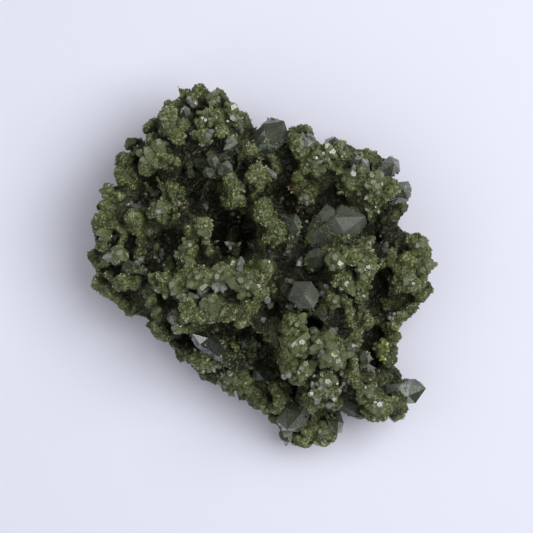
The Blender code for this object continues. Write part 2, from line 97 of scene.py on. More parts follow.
def lattice_random(cells: Array, seed: int) -> Array:
    """Random numbers that belong to the cells of a lattice: each cell's three whole numbers are mixed to one.

    Args:
        cells: Whole numbers, three for each cell.
        seed: Chooses one of many such sets.

    Returns:
        One number from 0 to 1 for each cell.
    """
    x, y, z = (cells[..., axis].astype(np.int64).astype(np.uint32) for axis in range(3))
    mixed = x * np.uint32(73856093) ^ y * np.uint32(19349663) ^ z * np.uint32(83492791)
    mixed ^= np.uint32((seed * 2654435761) & 0xFFFFFFFF)
    for shift, factor in ((16, 0x45D9F3B), (15, 0x2C1B3C6D), (16, 0x297A2D39)):
        mixed ^= mixed >> np.uint32(shift)
        mixed = mixed * np.uint32(factor)
    mixed ^= mixed >> np.uint32(15)
    return mixed.astype(np.float64) / 0xFFFFFFFF


def lattice_vectors(cells: Array, seed: int) -> Array:
    """Three random numbers from 0 to 1 for each cell, from the given seed and the two after it."""
    return np.stack([lattice_random(cells, seed + k) for k in range(3)], axis=1)


def soft_noise(points: Array, size: float, seed: int) -> Array:
    """Smooth noise: random values at lattice corners, blended by s*s*(3-2s) along each axis.

    Args:
        points: Places, one row each, in metres.
        size: The lattice's spacing in metres.
        seed: Chooses the pattern.

    Returns:
        One number from 0 to 1 for each point.
    """
    scaled = points / size
    corner = np.floor(scaled)
    share = scaled - corner
    share = share * share * (3 - 2 * share)
    total = np.zeros(len(points))
    for step in itertools.product((0, 1), repeat=3):
        weight = np.prod(np.where(np.array(step) == 1, share, 1 - share), axis=1)
        total += weight * lattice_random(corner + step, seed)
    return total


def sharpened(noise: Array, gain: float) -> Array:
    """A noise from 0 to 1 stretched about its middle by the gain and cut off at 0 and 1."""
    return np.clip(0.5 + gain * (noise - 0.5), 0, 1)


def soft_vectors(points: Array, size: float, seed: int) -> Array:
    """Three soft noises from -0.5 to 0.5 for each point, from the given seed and the two after it."""
    return np.stack([soft_noise(points, size, seed + k) for k in range(3)], axis=1) - 0.5


def nearby_seats(scaled: Array, seed: int) -> Iterator[tuple[Array, Array, Array]]:
    """The random seed points, one to a cell, of the 27 lattice cells in and round each place's own.

    Args:
        scaled: Places in units of the lattice's spacing.
        seed: Chooses the pattern.

    Yields:
        For one of the cells of each place: the cell, the way from its seed point and that way squared.
    """
    home = np.floor(scaled)
    for step in itertools.product((-1, 0, 1), repeat=3):
        cell = home + step
        away = scaled - (cell + lattice_vectors(cell, seed + 1))
        yield cell, away, np.einsum("ij,ij->i", away, away)


def block_heights(points: Array, size: float, seed: int) -> Array:
    """Flat tilted blocks: a place's height is how far it lies along a random direction that belongs to its
    nearest seed point, plus that point's own lift, so each cell is a plane and its borders are steps.

    Args:
        points: Places, one row each, in metres.
        size: Mean width of a block in metres.
        seed: Chooses the pattern.

    Returns:
        Heights as shares of the size, about -0.5 to 0.5.
    """
    nearest = np.full(len(points), np.inf)
    height = np.zeros(len(points))
    for cell, away, distance in nearby_seats(points / size, seed):
        closer = distance < nearest
        nearest = np.where(closer, distance, nearest)
        slope = lattice_vectors(cell, seed + 4) - 0.5
        lift = lattice_random(cell, seed + 7) - 0.5
        height = np.where(closer, np.einsum("ij,ij->i", away, slope) + 0.4 * lift, height)
    return height


def cushion_heights(points: Array, size: float, seed: int) -> Array:
    """Rounded cushions with sharp creases between them: a place's height is 1 - 2.2 d, where d is the
    square of its distance to the nearest seed point, and the lattice of the seed points is bent a little.

    Args:
        points: Places, one row each, in metres.
        size: Mean width of a cushion in metres.
        seed: Chooses the pattern.

    Returns:
        Heights from -1 to 1.
    """
    bent = points / size + 0.7 * soft_vectors(points, 1.3 * size, seed + 20)
    nearest = np.full(len(points), np.inf)
    for _, _, distance in nearby_seats(bent, seed):
        nearest = np.minimum(nearest, distance)
    return np.maximum(1 - 2.2 * nearest, -1)


def unit_rows(vectors: Array) -> Array:
    """Each row divided by its length."""
    return vectors / np.maximum(np.linalg.norm(vectors, axis=1, keepdims=True), 1e-12)


def mesh_from_arrays(name: str, points: Array, triangles: Array, tones: Array | None = None) -> Piece:
    """An object at the origin with these corners and triangles.

    Args:
        name: The object's name.
        points: Corners in metres, one row each.
        triangles: Corner numbers, three for each triangle.
        tones: A number for each corner, kept as the attribute "tone".

    Returns:
        The new object, flat shaded.
    """
    mesh = bpy.data.meshes.new(name)
    mesh.vertices.add(len(points))
    mesh.vertices.foreach_set("co", np.ascontiguousarray(points, np.float32).ravel())
    mesh.loops.add(3 * len(triangles))
    mesh.loops.foreach_set("vertex_index", np.ascontiguousarray(triangles, np.int32).ravel())
    mesh.polygons.add(len(triangles))
    mesh.polygons.foreach_set("loop_start", np.arange(0, 3 * len(triangles), 3, dtype=np.int32))
    mesh.update(calc_edges=True)
    mesh.shade_flat()
    if tones is not None:
        layer = mesh.attributes.new("tone", "FLOAT", "POINT")
        layer.data.foreach_set("value", np.ascontiguousarray(tones, np.float32))
    made = bpy.data.objects.new(name, mesh)
    bpy.context.scene.collection.objects.link(made)
    return made


def arrays_of(mesh: bpy.types.Mesh) -> Arrays:
    """A mesh's corners and triangles.

    Args:
        mesh: Any mesh.

    Returns:
        The corners, one row each, and three corner numbers for each triangle.
    """
    mesh.calc_loop_triangles()
    points = np.empty(3 * len(mesh.vertices), np.float32)
    mesh.vertices.foreach_get("co", points)
    triangles = np.empty(3 * len(mesh.loop_triangles), np.int32)
    mesh.loop_triangles.foreach_get("vertices", triangles)
    return points.reshape(-1, 3).astype(np.float64), triangles.reshape(-1, 3)


def welded(points: Array, triangles: Array, within: float = 1e-6) -> Arrays:
    """Corners closer than about the given length made one, and triangles that collapse left out.

    Args:
        points: Corners in metres.
        triangles: Corner numbers.
        within: The length in metres.

    Returns:
        The remaining corners and triangles.
    """
    _, first, index = np.unique(np.round(points / within), axis=0, return_index=True, return_inverse=True)
    triangles = index.reshape(-1)[triangles]
    a, b, c = triangles.T
    return points[first], triangles[(a != b) & (b != c) & (c != a)]


def joined(*meshes: Arrays) -> Arrays:
    """Several meshes as one.

    Args:
        *meshes: Each one's corners and triangles.

    Returns:
        All corners and triangles, in the same order.
    """
    starts = np.cumsum([0] + [len(points) for points, _ in meshes])
    faces = [triangles + start for (_, triangles), start in zip(meshes, starts)]
    return np.concatenate([points for points, _ in meshes]), np.concatenate(faces)


def node_arrays(node: str) -> Arrays:
    """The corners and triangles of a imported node, as one closed surface."""
    return welded(*arrays_of(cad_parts[node].data))


def face_crosses(points: Array, triangles: Array) -> Array:
    """Each triangle's normal, twice as long as the triangle's area."""
    a, b, c = (points[triangles[:, k]] for k in range(3))
    return np.cross(b - a, c - a)


def corner_normals(points: Array, triangles: Array) -> Array:
    """Each corner's normal: the sum of its triangles' normals, larger triangles counting more.

    Args:
        points: Corners in metres.
        triangles: Corner numbers.

    Returns:
        A unit vector for each corner.
    """
    faces = face_crosses(points, triangles)
    total = np.zeros_like(points)
    for k in range(3):
        for axis in range(3):
            total[:, axis] += np.bincount(triangles[:, k], weights=faces[:, axis], minlength=len(points))
    return unit_rows(total)


def with_modifier(points: Array, triangles: Array, kind: str, **settings: object) -> Arrays:
    """The arrays after one of Blender's modifiers.

    Args:
        points: Corners in metres.
        triangles: Corner numbers.
        kind: The modifier's type.
        **settings: Its settings by name.

    Returns:
        The new corners and triangles.
    """
    helper = mesh_from_arrays("helper", points, triangles)
    modifier = helper.modifiers.new("shape", kind)
    for name, value in settings.items():
        setattr(modifier, name, value)
    graph = bpy.context.evaluated_depsgraph_get()
    shaped = bpy.data.meshes.new_from_object(helper.evaluated_get(graph), depsgraph=graph)
    found = arrays_of(shaped)
    bpy.data.objects.remove(helper)
    bpy.data.meshes.remove(shaped)
    return found


def random_sizes(chance: Chance, low: float | Array, high: float | Array, count: int, power: float) -> Array:
    """Sizes of which small ones are the commoner: low + (high - low) r ** power, with r random.

    Args:
        chance: The random source.
        low: The smallest size, or one for each.
        high: The largest size, or one for each.
        count: How many sizes.
        power: Above 1, how much commoner small ones are.

    Returns:
        The sizes.
    """
    return low + (high - low) * chance.random(count) ** power


def photo_place(u: float, v: float) -> Pair:
    """The place in metres that a pixel of the photograph shows, at the outline's height."""
    return ((u - MIDDLE_PIXEL[0]) * PIXEL + PACKED_SHIFT[0], (MIDDLE_PIXEL[1] - v) * PIXEL + PACKED_SHIFT[1])


def smoothed(values: Array, reach: int) -> Array:
    """Each row replaced by the mean of the rows up to the given number of steps before and after it."""
    padded = np.pad(values, ((reach, reach), (0, 0)), mode="edge")
    return np.lib.stride_tricks.sliding_window_view(padded, 2 * reach + 1, axis=0).mean(axis=-1)


def spaced_line(line: Array, step: float) -> Array:
    """A line of straight stretches as evenly spaced places: x and y are interpolated over the length gone.

    Args:
        line: The line's corners, x and y in metres.
        step: The spacing in metres.

    Returns:
        The places, x and y, with the corners rounded off.
    """
    gone = np.concatenate([[0], np.cumsum(np.linalg.norm(np.diff(line, axis=0), axis=1))])
    wanted = np.linspace(0, gone[-1], max(int(gone[-1] / step), 4) + 1)
    return smoothed(np.stack([np.interp(wanted, gone, line[:, axis]) for axis in (0, 1)], axis=1), 2)


def seen_from_above(places: Array, cell: float = 0.9 * MM, tolerance: float = 1.0 * MM) -> Array:
    """Which places can be seen from straight above: no other in the same square column is much higher.

    Args:
        places: Places in metres, one row each.
        cell: The column's width in metres.
        tolerance: How far below the highest a place may lie.

    Returns:
        True or false for each place.
    """
    at = np.floor((places[:, :2] - places[:, :2].min(axis=0)) / cell).astype(int)
    columns = at[:, 0] * (at[:, 1].max() + 1) + at[:, 1]
    highest = np.zeros(columns.max() + 1)
    np.maximum.at(highest, columns, places[:, 2])
    return places[:, 2] > highest[columns] - tolerance


@dataclass(frozen=True)
class Skin:
    """A surface to plant crystals on."""

    points: Array
    triangles: Array

    def scatter(self, count: int, chance: Chance) -> Arrays:
        """Places spread evenly over the surface.

        Args:
            count: How many places.
            chance: The random source.

        Returns:
            The places and the surface's outward direction at each.
        """
        areas = np.linalg.norm(face_crosses(self.points, self.triangles), axis=1)
        picked = np.searchsorted(np.cumsum(areas), chance.random(count) * areas.sum())
        u, v = chance.random((2, count))
        over = u + v > 1
        u = np.where(over, 1 - u, u)[:, None]
        v = np.where(over, 1 - v, v)[:, None]
        at = self.triangles[picked].T
        a, b, c = (self.points[corner] for corner in at)
        normals = corner_normals(self.points, self.triangles)
        smooth = unit_rows((1 - u - v) * normals[at[0]] + u * normals[at[1]] + v * normals[at[2]])
        return a + u * (b - a) + v * (c - a), smooth


@dataclass(frozen=True)
class CrystalForm:
    """A closed crystal along +Z, one unit wide and one unit tall: rings, a point below and a point above.

    A corner at turn t of a ring is (cos t, flatness sin t) / 2 times the ring's share of the full width, at
    the ring's height plus saddle cos 2t. Each ring is written as its share and its height.
    """

    sides: int
    rings: tuple[Pair, ...]
    foot: float
    flatness: float = 0.84
    saddle: float = 0.0
    tip_shift: float = 0.0

    def arrays(self) -> Arrays:
        """The form as a mesh.

        Returns:
            The corners and triangles: the rings from the lowest up, then the points below and above.
        """
        turns = np.arange(self.sides) * math.tau / self.sides
        bent = self.saddle * np.cos(2 * turns)
        ring = np.stack([0.5 * np.cos(turns), 0.5 * self.flatness * np.sin(turns), bent], axis=1)
        rings = [ring * (share, share, 1) + (0, 0, height) for share, height in self.rings]
        points = np.concatenate([*rings, [(0, 0, self.foot), (self.tip_shift, 0, 1)]])
        here = np.arange(self.sides)
        following = (here + 1) % self.sides
        last = (len(rings) - 1) * self.sides
        below = np.full(self.sides, last + self.sides)
        triangles = [np.stack([following, here, below], axis=1)]
        for level in range(0, last, self.sides):
            triangles.append(np.stack([here, following, following + self.sides], axis=1) + level)
            triangles.append(np.stack([here, following + self.sides, here + self.sides], axis=1) + level)
        triangles.append(np.stack([here + last, following + last, below + 1], axis=1))
        return points, np.concatenate(triangles)


POINTED = CrystalForm(sides=6, rings=((1.0, -0.6), (0.96, 0.5)), foot=-0.72, flatness=0.9)
BLUNT = CrystalForm(sides=5, rings=((1.0, -0.7), (0.97, 0.6), (0.56, 1.0)), foot=-0.7)
CRUST = CrystalForm(sides=6, rings=((1.0, -1.0), (0.97, 0.66), (0.62, 1.0)), foot=-1.0)
GRAIN = CrystalForm(sides=4, rings=((1.0, 0.0),), foot=-0.6, saddle=0.1, tip_shift=0.1)


def frames_along(directions: Array, turns: Array) -> Array:
    """Turning matrices that take +Z to each direction, after a turn about +Z.

    Args:
        directions: Unit vectors.
        turns: Angles about +Z.

    Returns:
        A 3 by 3 matrix for each direction.
    """
    helper = np.where(np.abs(directions[:, 2:3]) < 0.9, (0.0, 0.0, 1.0), (1.0, 0.0, 0.0))
    across = unit_rows(np.cross(helper, directions))
    third = np.cross(directions, across)
    c, s = np.cos(turns)[:, None], np.sin(turns)[:, None]
    return np.stack([c * across + s * third, -s * across + c * third, directions], axis=2)


def planted(
    form: CrystalForm, places: Array, directions: Array, widths: Array, heights: Array, turns: Array
) -> Arrays:
    """One copy of a crystal at each place: corner = place + turning matrix times the scaled form corner.

    Args:
        form: The crystal's shape.
        places: Where each stands.
        directions: Which way each points.
        widths: Each one's width in metres.
        heights: Each one's height in metres.
        turns: Each one's turn about its own axis.

    Returns:
        All corners and triangles together.
    """
    corners, faces = form.arrays()
    scales = np.stack([widths, widths, heights], axis=1)
    local = corners[None, :, :] * scales[:, None, :]
    points = np.einsum("nij,nmj->nmi", frames_along(directions, turns), local) + places[:, None, :]
    offsets = np.arange(len(places))[:, None, None] * len(corners)
    return points.reshape(-1, 3), (faces[None, :, :] + offsets).reshape(-1, 3)


class Nodes:
    """Short ways to build a node tree."""

    def __init__(self, tree: bpy.types.NodeTree) -> None:
        """Takes the tree to build in.

        Args:
            tree: A material's or a group's node tree.
        """
        self.tree = tree

    def add(self, kind: str, inputs: dict[str, object] | None = None, **settings: object) -> bpy.types.Node:
        """Adds a node.

        Args:
            kind: The node's type.
            inputs: Values or output sockets for its inputs, by name.
            **settings: The node's own settings.

        Returns:
            The node.
        """
        node = self.tree.nodes.new(kind)
        for name, value in settings.items():
            setattr(node, name, value)
        for name, value in (inputs or {}).items():
            self.feed(node, name, value)
        return node

    def feed(self, node: bpy.types.Node, key: str | int, value: object) -> None:
        """Sets or links one input of a node.

        Args:
            node: The node.
            key: The input's name or number.
            value: A plain value, a colour of three numbers, or an output socket to link.
        """
        socket = node.inputs[key]
        if isinstance(value, Socket):
            self.tree.links.new(value, socket)
        elif socket.type == "RGBA":
            socket.default_value = (*value, 1.0)
        else:
            socket.default_value = value

    def blend(self, share: object, first: object, second: object) -> Socket:
        """A colour between two.

        Args:
            share: The second colour's share, a number or a socket.
            first: The colour at 0, three numbers or a socket.
            second: The colour at 1, the same.

        Returns:
            The colour's socket.
        """
        mix = self.add("ShaderNodeMix", data_type="RGBA")
        for index, value in ((0, share), (6, first), (7, second)):
            self.feed(mix, index, value)
        return mix.outputs[2]

    def number(self, operation: str, *values: object) -> Socket:
        """Places a sum on numbers.

        Args:
            operation: The Math node's operation.
            *values: Its inputs in order, plain numbers or sockets.

        Returns:
            The result's socket.
        """
        node = self.add("ShaderNodeMath", operation=operation)
        for index, value in enumerate(values):
            self.feed(node, index, value)
        return node.outputs[0]

    def ramp(self, value: object, stops: tuple[tuple[float, Colour], ...]) -> Socket:
        """A colour looked up along stops.

        Args:
            value: The socket that says where along them.
            stops: Each stop's place from 0 to 1 and its colour.

        Returns:
            The colour's socket.
        """
        node = self.add("ShaderNodeValToRGB", {"Fac": value})
        stopped = node.color_ramp.elements
        while len(stopped) < len(stops):
            stopped.new(0.5)
        for element, (place, colour) in zip(stopped, stops):
            element.position = place
            element.color = (*colour, 1.0)
        return node.outputs["Color"]

    def grain(self, scale: float, detail: float = 3.0, contrast: float = 0.5) -> Socket:
        """Places the shared grain effect.

        Args:
            scale: Cells to a metre.
            detail: How many finer layers it has.
            contrast: How soft the change is: near 0 it is sharp.

        Returns:
            The mask's socket.
        """
        values = {"Scale": scale, "Detail": detail, "Contrast": contrast}
        return self.add("ShaderNodeGroup", values, node_tree=grain_group()).outputs["Mask"]


class MaterialNodes(Nodes):
    """A new material's node tree."""

    def __init__(self, name: str) -> None:
        """Makes the material with its Principled BSDF.

        Args:
            name: The material's name.
        """
        self.material = bpy.data.materials.new(name)
        self.material.use_nodes = True
        super().__init__(self.material.node_tree)
        self.shader = self.tree.nodes["Principled BSDF"]
        self.output = self.tree.nodes["Material Output"]

    def tone(self, name: str = "tone") -> Socket:
        """A number kept in the piece's own attribute of this name."""
        return self.add("ShaderNodeAttribute", attribute_name=name).outputs["Fac"]

    def finished(self, **values: object) -> Material:
        """The material, after the shader's inputs are set.

        Args:
            **values: Plain values or sockets by input name, with _ for a space.

        Returns:
            The material.
        """
        for name, value in values.items():
            self.feed(self.shader, name.replace("_", " "), value)
        return self.material


def grain_group() -> bpy.types.NodeTree:
    """The grain effect that the finishes share: noise on Object coordinates, sharpened about its middle.

    Returns:
        The node group, made at the first call.
    """
    made = bpy.data.node_groups.get("mineral grain")
    if made is not None:
        return made
    group = bpy.data.node_groups.new("mineral grain", "ShaderNodeTree")
    for name, value in (("Scale", 800.0), ("Detail", 3.0), ("Contrast", 0.5)):
        socket = group.interface.new_socket(name, in_out="INPUT", socket_type="NodeSocketFloat")
        socket.default_value = value
    group.interface.new_socket("Mask", in_out="OUTPUT", socket_type="NodeSocketFloat")
    nodes = Nodes(group)
    entry = nodes.add("NodeGroupInput").outputs
    place = nodes.add("ShaderNodeTexCoord").outputs["Object"]
    inputs = {"Vector": place, "Scale": entry["Scale"], "Detail": entry["Detail"]}
    noise = nodes.add("ShaderNodeTexNoise", inputs)
    half = nodes.number("MULTIPLY", entry["Contrast"], 0.4)
    low, high = (nodes.number(operation, 0.5, half) for operation in ("SUBTRACT", "ADD"))
    inputs = {"Value": noise.outputs["Fac"], "From Min": low, "From Max": high}
    nodes.add("NodeGroupOutput", {"Mask": nodes.add("ShaderNodeMapRange", inputs).outputs["Result"]})
    return group


@dataclass(frozen=True)
class StoneFinish:
    """Green epidote: near black where the tone holds painted shade in hollows, olive to pistachio on tops."""

    name: str
    # Ramp colours from low to high tone; the green body's tone carries painted shade and painted edge light.
    deep: Colour = (0.006, 0.0072, 0.0028)
    shaded: Colour = (0.027, 0.033, 0.010)
    middle: Colour = (0.086, 0.103, 0.032)
    light: Colour = (0.225, 0.258, 0.120)
    pale: Colour = (0.36, 0.39, 0.28)
    speckle: float = 1500.0
    contrast: float = 0.7
    stops: tuple[float, ...] = (0.0, 0.2, 0.48, 0.78, 1.0)
    roughness: Pair = (0.34, 0.66)
    shine: float = 0.22
    index: float = 1.73

    def make(self) -> Material:
        """Builds it: colour from the piece's own tone and a fine noise, roughness from a coarser one.

        Returns:
            The material.
        """
        nodes = MaterialNodes(self.name)
        speckle = nodes.grain(self.speckle, 2.0, 0.7)
        share = nodes.number("MULTIPLY_ADD", speckle, self.contrast, 1 - 0.5 * self.contrast)
        tone = nodes.number("MULTIPLY", share, nodes.tone())
        colours = self.deep, self.shaded, self.middle, self.light, self.pale
        low, high = self.roughness
        rough = nodes.add("ShaderNodeMapRange", {"Value": nodes.grain(420.0), "To Min": low, "To Max": high})
        height = nodes.grain(2600.0, 4.0, 0.8)
        bump = nodes.add("ShaderNodeBump", {"Height": height, "Distance": 0.12 * MM, "Strength": 0.5})
        return nodes.finished(
            Base_Color=nodes.ramp(tone, tuple(zip(self.stops, colours))), Roughness=rough.outputs["Result"],
            Normal=bump.outputs["Normal"], IOR=self.index, Specular_IOR_Level=self.shine,
        )


@dataclass(frozen=True)
class GlassFinish:
    """A see-through crystal: plain transmission, refraction and absorption, with frost in patches.

    Where it is stepped, faint steps follow the piece's tone, and faces of low "clearness" are dull. Where
    it isn't, the piece's tone tells its crystals apart: cloudy at 0, clear at 1.
    """

    name: str
    tint: Colour
    absorbed: Colour
    density: float
    transmission: float
    index: float = QUARTZ_INDEX
    roughness: Pair = (0.02, 0.10)
    stepped: bool = True
    cloudy_share: float = 0.62
    dull_share: Colour = (0.15, 0.20, 0.13)

    def make(self) -> Material:
        """Builds it from its own colours, patches of frost and, where stepped, a bump along its length.

        Returns:
            The material.
        """
        nodes = MaterialNodes(self.name)
        cloudy = tuple(self.cloudy_share * c for c in self.tint)
        low, high = self.roughness
        patches = nodes.grain(260.0, 4.0, 0.5)
        frost = nodes.add("ShaderNodeMapRange", {"Value": patches, "To Min": low, "To Max": high})
        if self.stepped:
            inputs = {"W": nodes.tone(), "Scale": 2.2, "Detail": 4.0}
            steps = nodes.add("ShaderNodeTexNoise", inputs, noise_dimensions="1D").outputs["Fac"]
            bump = nodes.add("ShaderNodeBump", {"Height": steps, "Distance": 0.25 * MM, "Strength": 0.25})
            nodes.finished(Normal=bump.outputs["Normal"])
            dull = tuple(share * c for share, c in zip(self.dull_share, self.tint))
            veiled = nodes.blend(nodes.grain(330.0, 4.0, 0.6), cloudy, self.tint)
            colour = nodes.blend(nodes.tone("clearness"), dull, veiled)
        else:
            colour = nodes.blend(nodes.tone(), cloudy, self.tint)
        inputs = {"Color": self.absorbed, "Density": self.density}
        absorption = nodes.add("ShaderNodeVolumeAbsorption", inputs)
        nodes.feed(nodes.output, "Volume", absorption.outputs["Volume"])
        return nodes.finished(
            Base_Color=colour, Roughness=frost.outputs["Result"], IOR=self.index,
            Transmission_Weight=self.transmission, Metallic=0.0,
        )


@dataclass(frozen=True)
class PaperFinish:
    """The plain pale ground."""

    name: str
    colour: Colour = (0.690, 0.700, 0.815)

    def make(self) -> Material:
        """Builds it: one pale colour with a very faint unevenness.

        Returns:
            The material.
        """
        nodes = MaterialNodes(self.name)
        shade = nodes.blend(nodes.grain(9.0, 3.0, 1.0), tuple(0.985 * c for c in self.colour), self.colour)
        return nodes.finished(Base_Color=shade, Roughness=0.9)


def finish_piece(piece: Piece, material: Material, slot: Slot, nodes: tuple[str, ...] = ()) -> None:
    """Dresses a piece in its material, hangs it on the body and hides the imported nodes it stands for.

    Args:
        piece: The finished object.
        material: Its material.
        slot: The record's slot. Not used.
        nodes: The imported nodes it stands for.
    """
    piece.data.materials.clear()
    piece.data.materials.append(material)
    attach(piece, BODY)
    if nodes:
        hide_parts(*nodes)
    LOG.info("%s: %d faces", piece.name, len(piece.data.polygons))


class CrowdField:
    """How crowded the room round a place is with surface: the corners are counted in cells of a lattice,
    and the counts are averaged over a cube round each cell, so that hollows come out high and tops low."""

    def __init__(self, points: Array, cell: float, reach: int) -> None:
        """Counts and averages.

        Args:
            points: Evenly spaced corners of the surface.
            cell: The lattice's spacing in metres.
            reach: Half the cube's width, in cells.
        """
        self.cell = cell
        self.low = points.min(axis=0) - (reach + 2) * cell
        size = np.ceil((points.max(axis=0) - self.low) / cell).astype(int) + reach + 3
        at = ((points - self.low) / cell).astype(int)
        counts = np.bincount(np.ravel_multi_index(at.T, size), minlength=size.prod())
        counts = counts.reshape(size).astype(float)
        for axis in range(3):
            total = np.cumsum(counts, axis=axis)
            moved = np.roll(total, -reach, axis=axis) - np.roll(total, reach + 1, axis=axis)
            counts = np.maximum(moved, 0) / (2 * reach + 1)
        self.counts = counts

    def at(self, places: Array) -> Array:
        """The crowding at each place.

        Args:
            places: Places in metres, one row each.

        Returns:
            The crowding at each place, as a share of the 97th percentile of all filled cells.
        """
        index = ((places - self.low) / self.cell).astype(int)
        index = np.clip(index, 0, np.array(self.counts.shape) - 1)
        return self.counts[tuple(index.T)] / np.percentile(self.counts[self.counts > 0], 97)


class HeightMap:
    """The highest corner of a surface in each square of a grid and its neighbours, seen from above."""

    def __init__(self, points: Array, cell: float) -> None:
        """Sorts the corners into the squares.

        Args:
            points: Evenly spaced corners of the surface.
            cell: The grid's spacing in metres.
        """
        self.cell = cell
        self.low = points[:, :2].min(axis=0) - 2 * cell
        at = self.square(points[:, :2])
        grid = np.zeros(at.max(axis=0) + 3)
        np.maximum.at(grid, tuple(at.T), points[:, 2])
        self.grid = self.spread(grid, 1)

    def spread(self, grid: Array, steps: int) -> Array:
        """The highest value nearby, for each square.

        Args:
            grid: Values, one for each square.
            steps: How many squares away counts as near.

        Returns:
            The new grid.
        """
        grid = np.pad(grid, steps)
        for _ in range(steps):
            for axis in (0, 1):
                grid = np.maximum(grid, np.maximum(np.roll(grid, 1, axis=axis), np.roll(grid, -1, axis=axis)))
        return grid[steps:-steps, steps:-steps]

    def square(self, flat: Array) -> Array:
        """The square that each place lies in."""
        index = ((flat - self.low) / self.cell).astype(int)
        return np.clip(index, 0, None)

    def read(self, grid: Array, flat: Array) -> Array:
        """A grid's value at each place."""
        return grid[tuple(np.minimum(self.square(flat), np.array(grid.shape) - 1).T)]

    def at(self, flat: Array) -> Array:
        """The surface's height at each place."""
        return self.read(self.grid, flat)

    def pits(self, steps: int) -> Array:
        """How deep each square lies below the surface with its pits filled: the highest value nearby, and
        then the lowest of those nearby, less the height itself.

        Args:
            steps: Half the width of the widest pit, in squares.

        Returns:
            A depth in metres for each square.
        """
        filled = -self.spread(-self.spread(self.grid, steps), steps)
        return np.maximum(filled - self.grid, 0)


@dataclass(frozen=True)
class MossRidges:
    """Ribs of coated crystals and hanging strands, along lines noted from the photograph."""

    lines: tuple[tuple[float, tuple[Pair, ...]], ...]
    step: float = 0.7 * MM
    bridged: float = 3.0 * MM
    sunk: float = 0.6
    sides: int = 8

    def build(self, points: Array) -> Arrays:
        """All the ribs as closed tubes that lie on the surface.

        Args:
            points: Corners of the surface that they lie on.

        Returns:
            The corners and triangles of the tubes together.
        """
        ground = HeightMap(points, 1.0 * MM)
        return joined(*(
            self.tube(radius * MM, np.array([photo_place(u, v) for u, v in line]), ground)
            for radius, line in self.lines
        ))

    def tube(self, radius: float, line: Array, ground: HeightMap) -> Arrays:
        """A rib: the circle path(s) + r(s) (cos t across + sin t upright) carried along the line, where the
        path's height is the highest ground near it, smoothed, and r(s) swells by a noise and rounds the ends.

        Args:
            radius: The rib's mean radius in metres.
            line: The line's corners, x and y in metres.
            ground: The heights of the surface below.

        Returns:
            The corners and triangles.
        """
        flat = spaced_line(line, self.step)
        reach = int(self.bridged / self.step)
        padded = np.pad(ground.at(flat), reach, mode="edge")
        heights = np.lib.stride_tricks.sliding_window_view(padded, 2 * reach + 1).max(axis=1)
        heights = smoothed(heights[:, None], reach) - self.sunk * radius
        path = np.hstack([flat, heights])
        path = path + 1.5 * soft_vectors(path, 3 * MM, 83) * radius
        along = unit_rows(np.gradient(path, axis=0))
        across = unit_rows(np.stack([-along[:, 1], along[:, 0], np.zeros(len(along))], axis=1))
        upright = np.cross(along, across)
        gone = np.arange(len(path)) * self.step
        end = np.clip(np.minimum(gone, gone[-1] - gone) / radius, 0, 1)
        swell = 0.45 + 0.95 * soft_noise(path, 1.7 * MM, 81)
        radii = radius * swell * np.sqrt(np.clip(end * (2 - end), 0.05, 1))
        turns = np.arange(self.sides) * math.tau / self.sides
        spokes = np.cos(turns)[:, None] * across[:, None, :] + np.sin(turns)[:, None] * upright[:, None, :]
        rings = path[:, None, :] + radii[:, None, None] * spokes
        points = np.concatenate([rings.reshape(-1, 3), path[[0, -1]]])
        side = np.arange(self.sides)
        following = (side + 1) % self.sides
        starts = (np.arange(len(path) - 1) * self.sides)[:, None]
        low, lower = (side + starts).ravel(), (following + starts).ravel()
        last = (len(path) - 1) * self.sides
        middle = np.full(self.sides, len(points) - 2)
        triangles = np.concatenate([
            np.stack([low, lower, lower + self.sides], axis=1),
            np.stack([low, lower + self.sides, low + self.sides], axis=1),
            np.stack([middle, following, side], axis=1),
            np.stack([middle + 1, side + last, following + last], axis=1),
        ])
        return points, triangles


